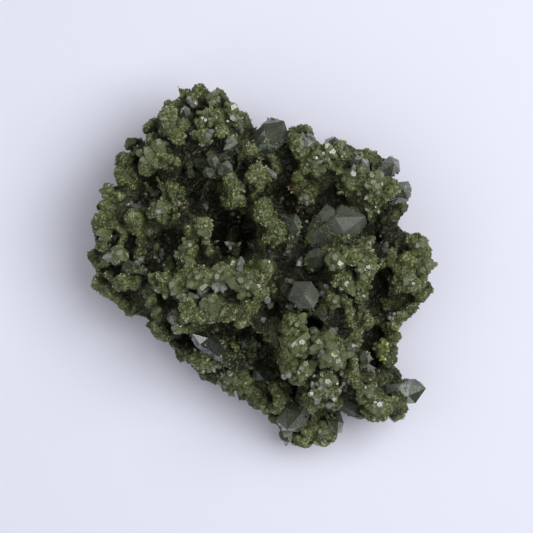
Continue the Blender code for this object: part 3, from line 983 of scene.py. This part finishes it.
@dataclass
class EpidoteMass:
    """The green body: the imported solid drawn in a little, crusted with coated crystals, and roughened.

    A cushion is written as its width and height in metres, a block as its width and its height's share of it.
    """

    ridges: MossRidges
    node: str = "epidote_mass"
    first_voxel: float = 0.85 * MM
    voxel: float = 0.50 * MM
    triangles_kept: int = 194000
    drawn_in: float = 0.5 * MM
    crystals: int = 1600
    crystal_width: Pair = (1.6 * MM, 6.4 * MM)
    crystal_slender: Pair = (0.6, 1.45)
    crystal_lean: float = 0.8
    crystals_above: float = 4 * MM
    crystal_height: float = 0.62
    crystal_sunk: float = 0.10
    room_reach: float = 3 * MM
    cushions: tuple[Pair, ...] = ((4.0 * MM, 0.20 * MM), (2.1 * MM, 0.15 * MM))
    blocks: tuple[Pair, ...] = ((3.2 * MM, 0.30), (1.7 * MM, 0.40), (0.9 * MM, 0.42))
    # Painted shade and light: where crowding is read, the crowding over which painted shade deepens,
    # the reach for painted crease shade and edge light, and the pit widths and depths that get painted shade.
    shade_reach: float = 3.5 * MM
    open_up_to: float = 0.36
    closed_after: float = 0.50
    painted_relief_reach: float = 0.6 * MM
    pit_steps: int = 9
    pit_depth: Pair = (1.5 * MM, 11.0 * MM)
    flat_below: float = 0.4 * MM
    free_above: float = 2.5 * MM
    crowd: CrowdField = field(init=False)
    close_crowd: CrowdField = field(init=False)
    heights: HeightMap = field(init=False)
    pits: Array = field(init=False)

    def free_share(self, points: Array) -> Array:
        """How freely a corner may move: not at all in the flat base, fully a little above it."""
        return np.clip((points[:, 2] - self.flat_below) / (self.free_above - self.flat_below), 0, 1)[:, None]

    def crust(self, coarse: Skin, crowd: CrowdField, chance: Chance) -> Arrays:
        """Blunt crystals, most where there is room and a slow noise is high, and smaller on steep sides.

        Args:
            coarse: The surface that they stand on.
            crowd: How crowded the room round it is.
            chance: The random source.

        Returns:
            Their corners and triangles.
        """
        places, outward = coarse.scatter(3 * self.crystals, chance)
        room = 1 - crowd.at(places + self.room_reach * outward)
        patch = soft_noise(places, 9 * MM, 5)
        too_low = 9 * (places[:, 2] < self.crystals_above)
        wanted = room + 0.8 * patch + 0.9 * chance.random(len(places)) - too_low
        chosen = np.argsort(-wanted)[: self.crystals]
        places, outward, room = places[chosen], outward[chosen], np.clip(room[chosen], 0, 1)
        low, high = self.crystal_width
        widths = low + (high - low) * chance.random(self.crystals) ** 1.5 * (0.4 + 0.6 * room)
        widths *= 0.6 + 0.4 * np.clip(2 * outward[:, 2], 0, 1)
        upright = 0.5 + 0.5 * np.abs(outward[:, 2])
        heights = widths * chance.uniform(*self.crystal_slender, self.crystals)
        heights *= self.crystal_height * upright
        directions = unit_rows(outward + self.crystal_lean * chance.normal(size=places.shape))
        seats = places - outward * (self.drawn_in + self.crystal_sunk * widths[:, None])
        turns = chance.uniform(0, math.tau, self.crystals)
        grown, faces = planted(CRUST, seats, directions, widths, heights, turns)
        grown[:, 2] = np.maximum(grown[:, 2], 0.3 * MM)
        return grown, faces

    def build(self, chance: Chance) -> Skin:
        """The surface: the solid's corners move inwards, crystals and ribs are put on it, all is made one
        surface, each corner moves along its normal by the cushions' and blocks' heights, and it is thinned.

        Args:
            chance: The random source.

        Returns:
            The skin.
        """
        points, triangles = with_modifier(
            *node_arrays(self.node), "REMESH", mode="VOXEL", voxel_size=self.first_voxel
        )
        ribs = self.ridges.build(points)
        coarse = Skin(*joined((points, triangles), ribs))
        inner = points - corner_normals(points, triangles) * self.drawn_in * self.free_share(points)
        crystals = self.crust(coarse, CrowdField(points, 1.2 * MM, 3), chance)
        points, triangles = with_modifier(
            *joined((inner, triangles), crystals, ribs), "REMESH", mode="VOXEL", voxel_size=self.voxel
        )
        lift = np.zeros(len(points))
        for number, (size, height) in enumerate(self.cushions):
            lift += height * cushion_heights(points, size, 61 + 30 * number)
        for number, (size, share) in enumerate(self.blocks):
            lift += block_heights(points, size, 11 + 10 * number) * size * share
        moved = points + corner_normals(points, triangles) * lift[:, None] * self.free_share(points)
        moved[:, 2] = np.maximum(moved[:, 2], 0)
        self.crowd = CrowdField(moved, 1.0 * MM, 4)
        self.close_crowd = CrowdField(moved, 0.5 * MM, 2)
        self.heights = HeightMap(moved, 1.0 * MM)
        self.pits = self.heights.pits(self.pit_steps)
        share = min(self.triangles_kept / len(triangles), 1.0)
        LOG.info("surface of %d triangles, %.2f of them kept", len(triangles), share)
        return Skin(*with_modifier(moved, triangles, "DECIMATE", ratio=share, use_collapse_triangulate=True))

    def shade(self, places: Array, outward: Array) -> Array:
        """Painted shade: how dark a place's tone is made for lying in a hollow.

        Args:
            places: Places on the surface.
            outward: The surface's outward direction at each.

        Returns:
            0 on a top to 1 deep down, for each place.
        """
        # Painted shade from how crowded the room outside the place is and how deep its pit is.
        found = self.crowd.at(places + self.shade_reach * outward)
        near = np.clip((found - self.open_up_to) / self.closed_after, 0, 1)
        shallow, deep = self.pit_depth
        pit = np.clip((self.heights.read(self.pits, places[:, :2]) - shallow) / (deep - shallow), 0, 1)
        return 1 - (1 - near) * (1 - pit)

    def painted_relief_shading(self, places: Array, outward: Array) -> Array:
        """How far a place stands out from what is close round it, 0 in a crease and 1 on an edge: the mask
        for painted shade in creases and painted light on edges.

        Args:
            places: Places on the surface.
            outward: The surface's outward direction at each.

        Returns:
            One number from 0 to 1 for each place.
        """
        # Painted shade in creases and painted light on edges come from this crowding close outside the place.
        found = self.close_crowd.at(places + self.painted_relief_reach * outward)
        low, high = np.percentile(found, (8, 92))
        return np.clip((high - found) / (high - low), 0, 1)

    def dress(self, skin: Skin, material: Material) -> None:
        """Makes the piece of a skin, its tone patchy, with painted shade in the hollows and painted light on
        the edges.

        Args:
            skin: The surface.
            material: What it is made of.
        """
        outward = corner_normals(skin.points, skin.triangles)
        slow, fast = soft_noise(skin.points, 6 * MM, 21), soft_noise(skin.points, 1.2 * MM, 22)
        tones = 0.14 + 0.20 * slow + 0.26 * fast
        dark, painted_relief_shading = self.shade(skin.points, outward), self.painted_relief_shading(skin.points, outward)
        # Painted shade darkens the tone in hollows and creases; painted light raises it on edges.
        tones *= (1 - 0.88 * dark) * (0.8 + 0.4 * painted_relief_shading)
        piece = mesh_from_arrays("epidote_mass_skin", skin.points, skin.triangles, tones)
        finish_piece(piece, material, Slot.EPIDOTE, (self.node,))


@dataclass
class EpidoteMoss:
    """The moss of grains on the green body: small blunt crystals in pieces of a bounded size."""

    count: int = 74000
    pieces: int = 4
    tries: int = 160000
    under_share: float = 0.25
    patch_tone: float = 0.32
    mottle_tone: float = 0.52
    grain_tone: float = 0.12
    # How strongly painted shade darkens grains in the hollows.
    painted_shade_strength: float = 0.90
    width: Pair = (0.26 * MM, 0.68 * MM)
    slender: Pair = (0.55, 1.0)
    lean: float = 0.7
    lowest: float = 1.2 * MM

    def build(self, skin: Skin, mass: EpidoteMass, chance: Chance) -> list[Piece]:
        """Plants the grains over the skin: each is two four-sided points foot to foot, half sunk.

        Args:
            skin: The surface that they grow on.
            mass: The green body, which knows where its hollows and edges are, for painted shade and light.
            chance: The random source.

        Returns:
            The pieces.
        """
        places, outward = skin.scatter(self.tries, chance)
        likely = np.where(outward[:, 2] > -0.15, 1.0, self.under_share) * (places[:, 2] > self.lowest)
        kept = np.flatnonzero(chance.random(self.tries) < likely)[: self.count]
        places, outward = places[kept], outward[kept]
        count = len(places)
        dark = mass.shade(places, outward)
        patch = sharpened(soft_noise(places, 5.5 * MM, 31), 1.5)
        mottle = sharpened(soft_noise(places, 1.1 * MM, 32), 2.4)
        directions = unit_rows(outward + self.lean * chance.normal(size=(count, 3)))
        widths = random_sizes(chance, *self.width, count, 1.5)
        heights = widths * chance.uniform(*self.slender, count)
        tones = self.patch_tone * patch + self.mottle_tone * mottle + self.grain_tone * chance.random(count)
        # Painted shade in hollows and creases, and painted light on edges.
        tones *= 1 - self.painted_shade_strength * dark
        tones *= 0.75 + 0.5 * mass.painted_relief_shading(places, outward)
        turns = chance.uniform(0, math.tau, count)
        points, triangles = planted(GRAIN, places, directions, widths, heights, turns)
        corners, faces = (len(part) for part in GRAIN.arrays())
        made = []
        for number, group in enumerate(np.array_split(np.arange(count), self.pieces)):
            low, high = group[0], group[-1] + 1
            made.append(mesh_from_arrays(
                f"epidote_moss_{number + 1}",
                points[low * corners:high * corners],
                triangles[low * faces:high * faces] - low * corners,
                np.repeat(tones[low:high], corners),
            ))
        return made


@dataclass
class SmallCrystals:
    """Glassy crystals at the spots noted from the photograph, and scattered in patches over the green body.

    A spot is the pixel of its middle, its radius in pixels and how many crystals stand there.
    """

    spots: tuple[tuple[float, float, float, int], ...]
    width: Pair
    slender: Pair = (0.8, 1.5)
    scattered: int = 0
    form: CrystalForm = BLUNT
    lean: float = 0.5
    tries: int = 90000

    def build(self, name: str, skin: Skin, chance: Chance) -> Piece:
        """Plants the crystals: at each spot, those of many tried places that lie nearest to its middle.

        Args:
            name: The piece's name.
            skin: The surface that they grow on.
            chance: The random source.

        Returns:
            The piece.
        """
        places, outward = skin.scatter(self.tries, chance)
        usable = np.flatnonzero(seen_from_above(places) & (outward[:, 2] > 0.05))
        places, outward = places[usable], outward[usable]
        chosen, widths = [], []
        low, high = self.width
        for u, v, radius, count in self.spots:
            away = np.linalg.norm(places[:, :2] - photo_place(u, v), axis=1) / (radius * PIXEL)
            chosen.append(np.argsort(away + 0.9 * chance.random(len(places)))[:count])
            widths.append(random_sizes(chance, low, min(radius * PIXEL * 1.3, high), count, 1.2))
        patch = soft_noise(places, 7 * MM, 41) + 0.3 * chance.random(len(places))
        best = np.argsort(-patch)[: 6 * self.scattered]
        chosen.append(chance.choice(best, self.scattered, replace=False))
        widths.append(random_sizes(chance, low, 0.6 * high, self.scattered, 2))
        chosen, widths = np.concatenate(chosen), np.concatenate(widths)
        places, outward = places[chosen], outward[chosen]
        directions = unit_rows(outward + self.lean * chance.normal(size=places.shape) + (0, 0, 0.5))
        heights = widths * chance.uniform(*self.slender, len(widths))
        turns = chance.uniform(0, math.tau, len(widths))
        points, triangles = planted(self.form, places, directions, widths, heights, turns)
        corners = len(self.form.arrays()[0])
        return mesh_from_arrays(name, points, triangles, np.repeat(chance.random(len(widths)), corners))


@dataclass
class QuartzPoint:
    """One packed quartz piece with fine uneven faces."""

    node: str
    cuts: int = 7
    wave: float = 0.045 * MM
    wave_size: float = 2.2 * MM

    def build(self) -> Piece:
        """The piece: each packed triangle is a grid of two parameters, a + u(b - a) + v(c - a), whose
        corners then move along their normals by a soft noise.

        Returns:
            The piece. Its tone is the distance along its longest axis in millimetres, and "clearness" is a
            noise of the way that a face looks, which the piece's corner count shifts.
        """
        points, triangles = node_arrays(self.node)
        rows = [(i, j) for i in range(self.cuts + 1) for j in range(self.cuts + 1 - i)]
        number = {pair: k for k, pair in enumerate(rows)}
        u, v = (np.array(rows).T / self.cuts)[:, :, None]
        a, b, c = (points[triangles[:, k]][:, None, :] for k in range(3))
        fine = (a + u * (b - a) + v * (c - a)).reshape(-1, 3)
        pattern = [(number[i, j], number[i + 1, j], number[i, j + 1]) for i, j in rows if i + j < self.cuts]
        inner = [(i, j) for i, j in rows if i + j < self.cuts - 1]
        pattern += [(number[i + 1, j], number[i + 1, j + 1], number[i, j + 1]) for i, j in inner]
        offsets = np.arange(len(triangles))[:, None, None] * len(rows)
        fine, faces = welded(fine, (np.array(pattern)[None] + offsets).reshape(-1, 3))
        normals = corner_normals(fine, faces)
        fine = fine + normals * (self.wave * (soft_noise(fine, self.wave_size, 51) - 0.6))[:, None]
        spread = np.linalg.svd(points - points.mean(axis=0), full_matrices=False)[2][0]
        piece = mesh_from_arrays(self.node + "_glass", fine, faces, fine @ spread / MM)
        facing = unit_rows(face_crosses(fine, faces))
        clearness = sharpened(soft_noise(facing + 0.01 * len(points), 0.5, 53), 1.5)
        layer = piece.data.attributes.new("clearness", "FLOAT", "CORNER")
        layer.data.foreach_set("value", np.repeat(clearness, 3).astype(np.float32))
        return piece


@dataclass
class CrystalMoss:
    """Epidote on and in the quartz points: grains that creep up their sides, and flakes inside."""

    on_each: int = 420
    in_each: int = 40
    creep: float = 0.62
    width: Pair = (0.40 * MM, 0.85 * MM)
    flake: Pair = (0.25 * MM, 0.8 * MM)

    def build(self, nodes: list[str], chance: Chance) -> Piece:
        """Grains on the faces where a soft noise is high, and flakes at a random share of the way
        from a face to the crystal's middle line.

        Args:
            nodes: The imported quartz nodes.
            chance: The random source.

        Returns:
            The piece.
        """
        places, outward, low, high, shade = ([] for _ in range(5))
        for node in nodes:
            points, triangles = node_arrays(node)
            faces = Skin(points, triangles)
            size = math.sqrt(np.prod(np.sort(np.ptp(points, axis=0))[1:]) / (10 * MM) ** 2)
            middle, axis = points.mean(axis=0), np.linalg.svd(points - points.mean(axis=0))[2][0]
            axis = axis * np.sign(axis[2])
            on, facing = faces.scatter(int(self.on_each * size), chance)
            reach = (on - middle) @ axis
            below = (reach.max() - reach) / np.ptp(reach)
            creeping = soft_noise(on, 3.2 * MM, 71) + 0.12 * chance.random(len(on)) + 0.55 * (below - 0.45)
            kept = creeping > self.creep
            shade += [0.75 + 0.5 * chance.random(kept.sum())]
            within, _ = faces.scatter(int(self.in_each * size), chance)
            foot = middle + np.outer((within - middle) @ axis, axis)
            within = within + (foot - within) * chance.uniform(0.25, 1.0, (len(within), 1))
            shade += [np.ones(len(within))]
            places += [on[kept], within]
            outward += [facing[kept], unit_rows(chance.normal(size=within.shape))]
            for ends, bound in ((low, 0), (high, 1)):
                ends += [np.full(kept.sum(), self.width[bound]), np.full(len(within), self.flake[bound])]
        places, outward, low, high, shade = map(np.concatenate, (places, outward, low, high, shade))
        count = len(places)
        widths = random_sizes(chance, low, high, count, 1.5)
        heights = widths * chance.uniform(0.5, 1.1, count)
        tones = (0.12 + 0.75 * chance.random(count) ** 1.8) * shade
        directions = unit_rows(outward + 0.6 * chance.normal(size=(count, 3)))
        turns = chance.uniform(0, math.tau, count)
        points, triangles = planted(GRAIN, places, directions, widths, heights, turns)
        tones = np.repeat(tones, len(GRAIN.arrays()[0]))
        return mesh_from_arrays("epidote_on_quartz", points, triangles, tones)


@dataclass(frozen=True)
class Lamp:
    """A square area light that faces the object. Lengths are in metres and its power is in watts."""

    name: str
    place: Triple
    size: float
    power: float
    colour: Colour

    def build(self) -> None:
        """Hangs it in its place."""
        lamp = bpy.data.lights.new(self.name, "AREA")
        lamp.shape = "SQUARE"
        lamp.size = self.size
        lamp.energy = self.power
        lamp.color = self.colour
        holder = bpy.data.objects.new(self.name, lamp)
        holder.location = self.place
        holder.rotation_euler = (-Vector(self.place)).to_track_quat("-Z", "Y").to_euler()
        bpy.context.scene.collection.objects.link(holder)


@dataclass
class Studio:
    """The pale ground, the soft light and the camera that looks straight down."""

    height: float = 0.9
    looks_at: Pair = photo_place(266.5, 266.5)
    measured_at: float = 22 * MM
    floor_half: float = 0.9
    floor_gap: float = 0.02 * MM
    sensor: float = 36.0
    sky: Colour = (1.0, 0.99, 0.96)
    sky_strength: float = 0.15
    lamps: tuple[Lamp, ...] = (
        Lamp("window", (0.34, 0.10, 0.72), 0.54, 6.1, (1.0, 0.995, 0.985)),
        Lamp("reflector", (-0.30, -0.06, 0.78), 0.90, 3.0, (0.97, 0.98, 1.0)),
    )

    def build(self, paper: Material) -> None:
        """Makes the ground, the lights and the camera.

        Args:
            paper: The ground's material.
        """
        half = self.floor_half
        points = np.array([(-half, -half, 0), (half, -half, 0), (half, half, 0), (-half, half, 0)])
        ground = mesh_from_arrays("ground", points, np.array([(0, 1, 2), (0, 2, 3)]))
        ground.location.z = -self.floor_gap
        ground.data.materials.append(paper)
        ground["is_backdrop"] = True
        for lamp in self.lamps:
            lamp.build()
        world = bpy.data.worlds.new("studio")
        bpy.context.scene.world = world
        world.use_nodes = True
        sky = world.node_tree.nodes["Background"]
        sky.inputs["Color"].default_value = (*self.sky, 1.0)
        sky.inputs["Strength"].default_value = self.sky_strength
        bpy.context.scene.view_settings.view_transform = "Standard"
        self.camera()

    def camera(self) -> None:
        """A long lens straight above: the picture is PHOTO_WIDTH wide at the outline's height."""
        eye = bpy.data.cameras.new("camera")
        eye.sensor_width = self.sensor
        eye.lens = self.sensor * (self.height - self.measured_at) / (PHOTO_WIDTH * MM)
        holder = bpy.data.objects.new("camera", eye)
        holder.location = (*self.looks_at, self.height)
        bpy.context.scene.collection.objects.link(holder)
        bpy.context.scene.camera = holder


# Which packed crystals are smoky, and the spots: middle, radius and count, in pixels of the photograph.
SMOKY_NODES = ("quartz_blade", "quartz_dark_pyramid", "quartz_dark_glass")
PALE_SPOTS = (
    (305, 145, 12, 5), (323, 291, 5, 3), (288, 281, 5, 3), (291, 304, 5, 3), (193, 104, 7, 4),
    (230, 146, 8, 5), (205, 208, 5, 2), (133, 205, 6, 3), (115, 255, 7, 4), (250, 276, 4, 2),
    (177, 318, 9, 6), (264, 318, 5, 3), (274, 178, 5, 2), (305, 199, 6, 3), (353, 173, 8, 5),
    (333, 330, 8, 5), (335, 345, 9, 4), (350, 345, 8, 4), (320, 352, 9, 4), (313, 398, 5, 3),
    (329, 406, 5, 3), (314, 414, 5, 3), (386, 248, 6, 3), (220, 170, 11, 9), (231, 245, 5, 2),
    (160, 210, 9, 5), (161, 252, 6, 3), (187, 116, 6, 3), (210, 138, 7, 4), (390, 314, 7, 4),
    (344, 385, 6, 4), (240, 268, 8, 6), (222, 285, 8, 6), (268, 300, 8, 5), (205, 292, 8, 6),
    (140, 262, 7, 4), (300, 262, 7, 4), (330, 262, 7, 4), (372, 372, 7, 5), (400, 385, 7, 4),
    (255, 345, 7, 4), (285, 372, 6, 4),
)
GREEN_SPOTS = (
    (388, 345, 5, 3), (385, 355, 5, 3), (258, 288, 8, 8), (265, 266, 8, 8), (104, 193, 5, 4),
    (160, 150, 9, 8), (200, 280, 14, 24), (225, 272, 14, 26), (245, 286, 14, 26), (210, 300, 14, 22),
    (180, 290, 12, 14), (300, 345, 12, 20), (320, 340, 14, 26), (335, 356, 14, 28), (305, 366, 12, 20),
    (325, 378, 10, 16), (120, 255, 12, 12), (110, 235, 10, 8), (107, 262, 9, 8), (235, 120, 12, 12),
    (215, 100, 10, 8), (190, 262, 8, 8), (190, 245, 8, 6), (205, 235, 8, 6), (420, 265, 12, 14),
    (405, 280, 10, 10), (415, 245, 10, 9), (335, 262, 12, 14), (360, 268, 12, 14), (345, 285, 10, 10),
    (372, 185, 14, 16), (350, 180, 10, 10), (330, 155, 10, 8), (300, 150, 8, 6), (315, 172, 9, 8),
    (172, 130, 9, 7), (150, 160, 9, 8), (225, 170, 9, 8), (160, 210, 9, 8), (300, 320, 9, 8),
    (333, 300, 8, 6), (255, 345, 8, 6), (180, 325, 9, 8), (225, 380, 9, 8), (325, 430, 9, 8),
    (375, 405, 10, 9), (365, 390, 8, 7),
)
OLIVE_SPOTS = ((383, 344, 4, 4), (382, 356, 4, 3), (334, 301, 3, 3), (307, 243, 3, 3), (388, 349, 3, 3))
RUST_SPOTS = ((183, 205, 4, 14), (290, 190, 5, 16), (300, 213, 4, 10), (262, 161, 3, 6))

# Ribs and strands: the radius in millimetres, then the line's corners in pixels of the photograph.
RIDGE_LINES = (
    (0.9, ((173, 181), (174, 197), (179, 221))),
    (0.9, ((215, 109), (209, 121), (225, 137))),
    (0.9, ((257, 160), (257, 179), (259, 197))),
    (1.3, ((204, 223), (205, 237), (211, 257))),
    (2.0, ((171, 111), (169, 129), (179, 135), (185, 141))),
    (1.8, ((160, 150), (170, 160), (182, 170))),
    (0.6, ((214, 178), (205, 190), (201, 206))),
    (0.6, ((236, 148), (240, 162), (236, 176))),
    (0.6, ((158, 176), (166, 190), (164, 206))),
    (0.6, ((246, 176), (250, 190), (258, 204))),
    (0.7, ((104, 222), (112, 213), (122, 207))),
    (0.7, ((101, 236), (111, 227), (122, 222))),
    (0.7, ((104, 248), (113, 240), (124, 234))),
    (0.7, ((131, 212), (139, 222), (141, 236))),
    (1.5, ((187, 150), (190, 165), (193, 180))),
    (1.3, ((199, 122), (202, 135), (206, 148))),
    (1.6, ((187, 98), (197, 103), (194, 114))),
    (1.5, ((206, 98), (223, 109))),
    (1.4, ((141, 149), (127, 168), (129, 184))),
    (1.2, ((106, 189), (118, 199), (102, 217), (97, 233))),
    (1.2, ((110, 215), (125, 235), (118, 255))),
    (1.2, ((135, 225), (145, 245), (138, 265))),
    (1.3, ((145, 151), (151, 171), (161, 165))),
    (2.2, ((259, 197), (267, 213), (283, 233))),
    (1.8, ((225, 173), (237, 185), (239, 205))),
    (1.3, ((293, 134), (296, 143), (303, 153))),
    (1.2, ((301, 140), (309, 145), (311, 155))),
    (1.6, ((291, 169), (301, 181), (313, 195))),
    (1.3, ((322, 161), (336, 171), (349, 177))),
    (2.2, ((343, 179), (361, 187), (381, 185), (395, 189))),
    (2.0, ((333, 243), (331, 255), (341, 277), (343, 289))),
    (2.0, ((345, 255), (361, 265), (371, 275))),
    (1.0, ((355, 243), (365, 257), (373, 261))),
    (2.0, ((404, 241), (417, 249), (421, 260), (421, 272), (416, 288))),
    (1.7, ((389, 253), (401, 265), (411, 281), (412, 297))),
    (1.3, ((375, 261), (391, 265), (399, 281))),
    (2.2, ((161, 288), (175, 280), (197, 278), (213, 274))),
    (2.0, ((181, 300), (193, 312), (217, 316), (241, 310), (257, 304))),
    (1.4, ((157, 318), (159, 328), (170, 336))),
    (1.5, ((173, 342), (186, 352), (201, 358), (214, 361), (223, 368))),
    (1.5, ((223, 361), (231, 374), (243, 384), (256, 390))),
    (1.6, ((233, 364), (249, 376), (257, 392), (263, 405))),
    (1.5, ((249, 314), (265, 326), (277, 332), (281, 344))),
    (1.1, ((257, 368), (260, 384), (267, 400), (272, 412))),
    (1.0, ((277, 376), (279, 392), (279, 408))),
    (1.0, ((285, 380), (288, 400))),
    (1.3, ((99, 266), (111, 278), (129, 278))),
    (1.4, ((99, 274), (109, 290), (122, 300), (129, 312))),
    (1.9, ((296, 318), (288, 336), (286, 348), (292, 364), (304, 378))),
    (1.2, ((342, 290), (344, 306), (352, 326))),
    (1.1, ((356, 284), (358, 304), (354, 320))),
    (1.7, ((320, 372), (324, 388), (332, 384))),
    (1.5, ((364, 384), (370, 400), (368, 414))),
    (1.5, ((376, 388), (382, 400), (380, 412))),
    (1.3, ((352, 356), (354, 372), (360, 388), (364, 402))),
    (1.4, ((385, 338), (380, 354), (386, 366))),
    (1.6, ((388, 334), (394, 326), (402, 317), (408, 309), (416, 299))),
    (1.2, ((380, 402), (394, 404), (405, 396))),
    (1.4, ((287, 429), (293, 437), (302, 440), (311, 434))),
    (1.8, ((307, 420), (316, 431), (326, 438), (330, 427))),
    (1.1, ((235, 222), (230, 240), (240, 258))),
    (1.2, ((150, 285), (160, 300), (158, 315))),
)


def main() -> None:
    """Builds the pieces in order, then the studio."""
    logging.basicConfig(level=logging.INFO, format="%(name)s: %(message)s")
    chance = np.random.default_rng(SEED)
    epidote = StoneFinish("epidote", contrast=1.5).make()
    moss = StoneFinish("epidote moss").make()
    rust = StoneFinish("rust", middle=(0.115, 0.062, 0.032), light=(0.17, 0.10, 0.06)).make()
    quartz = GlassFinish("clear quartz", (0.93, 0.97, 0.87), (0.68, 0.77, 0.58), 14.0, 0.82).make()
    smoky = GlassFinish("smoky quartz", (0.34, 0.37, 0.33), (0.45, 0.50, 0.42), 60.0, 0.88).make()
    pale = GlassFinish(
        "pale quartz", (0.66, 0.70, 0.62), (0.66, 0.72, 0.60), 60.0, 0.74,
        roughness=(0.19, 0.36), stepped=False,
    ).make()
    green = GlassFinish(
        "glassy epidote", (0.34, 0.40, 0.19), (0.50, 0.60, 0.26), 80.0, 0.66, EPIDOTE_INDEX,
        roughness=(0.12, 0.28), stepped=False,
    ).make()
    olive = GlassFinish(
        "olive epidote", (0.50, 0.60, 0.10), (0.62, 0.74, 0.20), 60.0, 0.55, EPIDOTE_INDEX, stepped=False
    ).make()
    mass = EpidoteMass(MossRidges(RIDGE_LINES))
    skin = mass.build(chance)
    mass.dress(skin, epidote)
    for piece in EpidoteMoss().build(skin, mass, chance):
        finish_piece(piece, moss, Slot.EPIDOTE)
    pale_ones = SmallCrystals(PALE_SPOTS, (0.9 * MM, 2.8 * MM), scattered=130, form=POINTED)
    green_ones = SmallCrystals(GREEN_SPOTS, (1.2 * MM, 3.8 * MM), (0.45, 1.05), 230)
    olive_ones = SmallCrystals(OLIVE_SPOTS, (1.2 * MM, 2.8 * MM), (0.6, 1.1))
    rust_ones = SmallCrystals(RUST_SPOTS, (0.4 * MM, 0.9 * MM))
    for name, crystals, material, slot in (
        ("quartz_druse", pale_ones, pale, Slot.QUARTZ),
        ("glassy_epidote", green_ones, green, Slot.EPIDOTE),
        ("olive_epidote", olive_ones, olive, Slot.EPIDOTE),
        ("rust_specks", rust_ones, rust, Slot.EPIDOTE),
    ):
        finish_piece(crystals.build(name, skin, chance), material, slot)
    quartz_nodes = [node for node in sorted(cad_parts) if node.startswith("quartz_")]
    for node in quartz_nodes:
        glass = smoky if node in SMOKY_NODES else quartz
        finish_piece(QuartzPoint(node).build(), glass, Slot.QUARTZ, (node,))
    finish_piece(CrystalMoss().build(quartz_nodes, chance), moss, Slot.EPIDOTE)
    Studio().build(PaperFinish("paper").make())
    boxes = [[list(corner) for corner in box] for box in (CAD_BOX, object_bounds())]


if __name__ == "__main__":
    main()
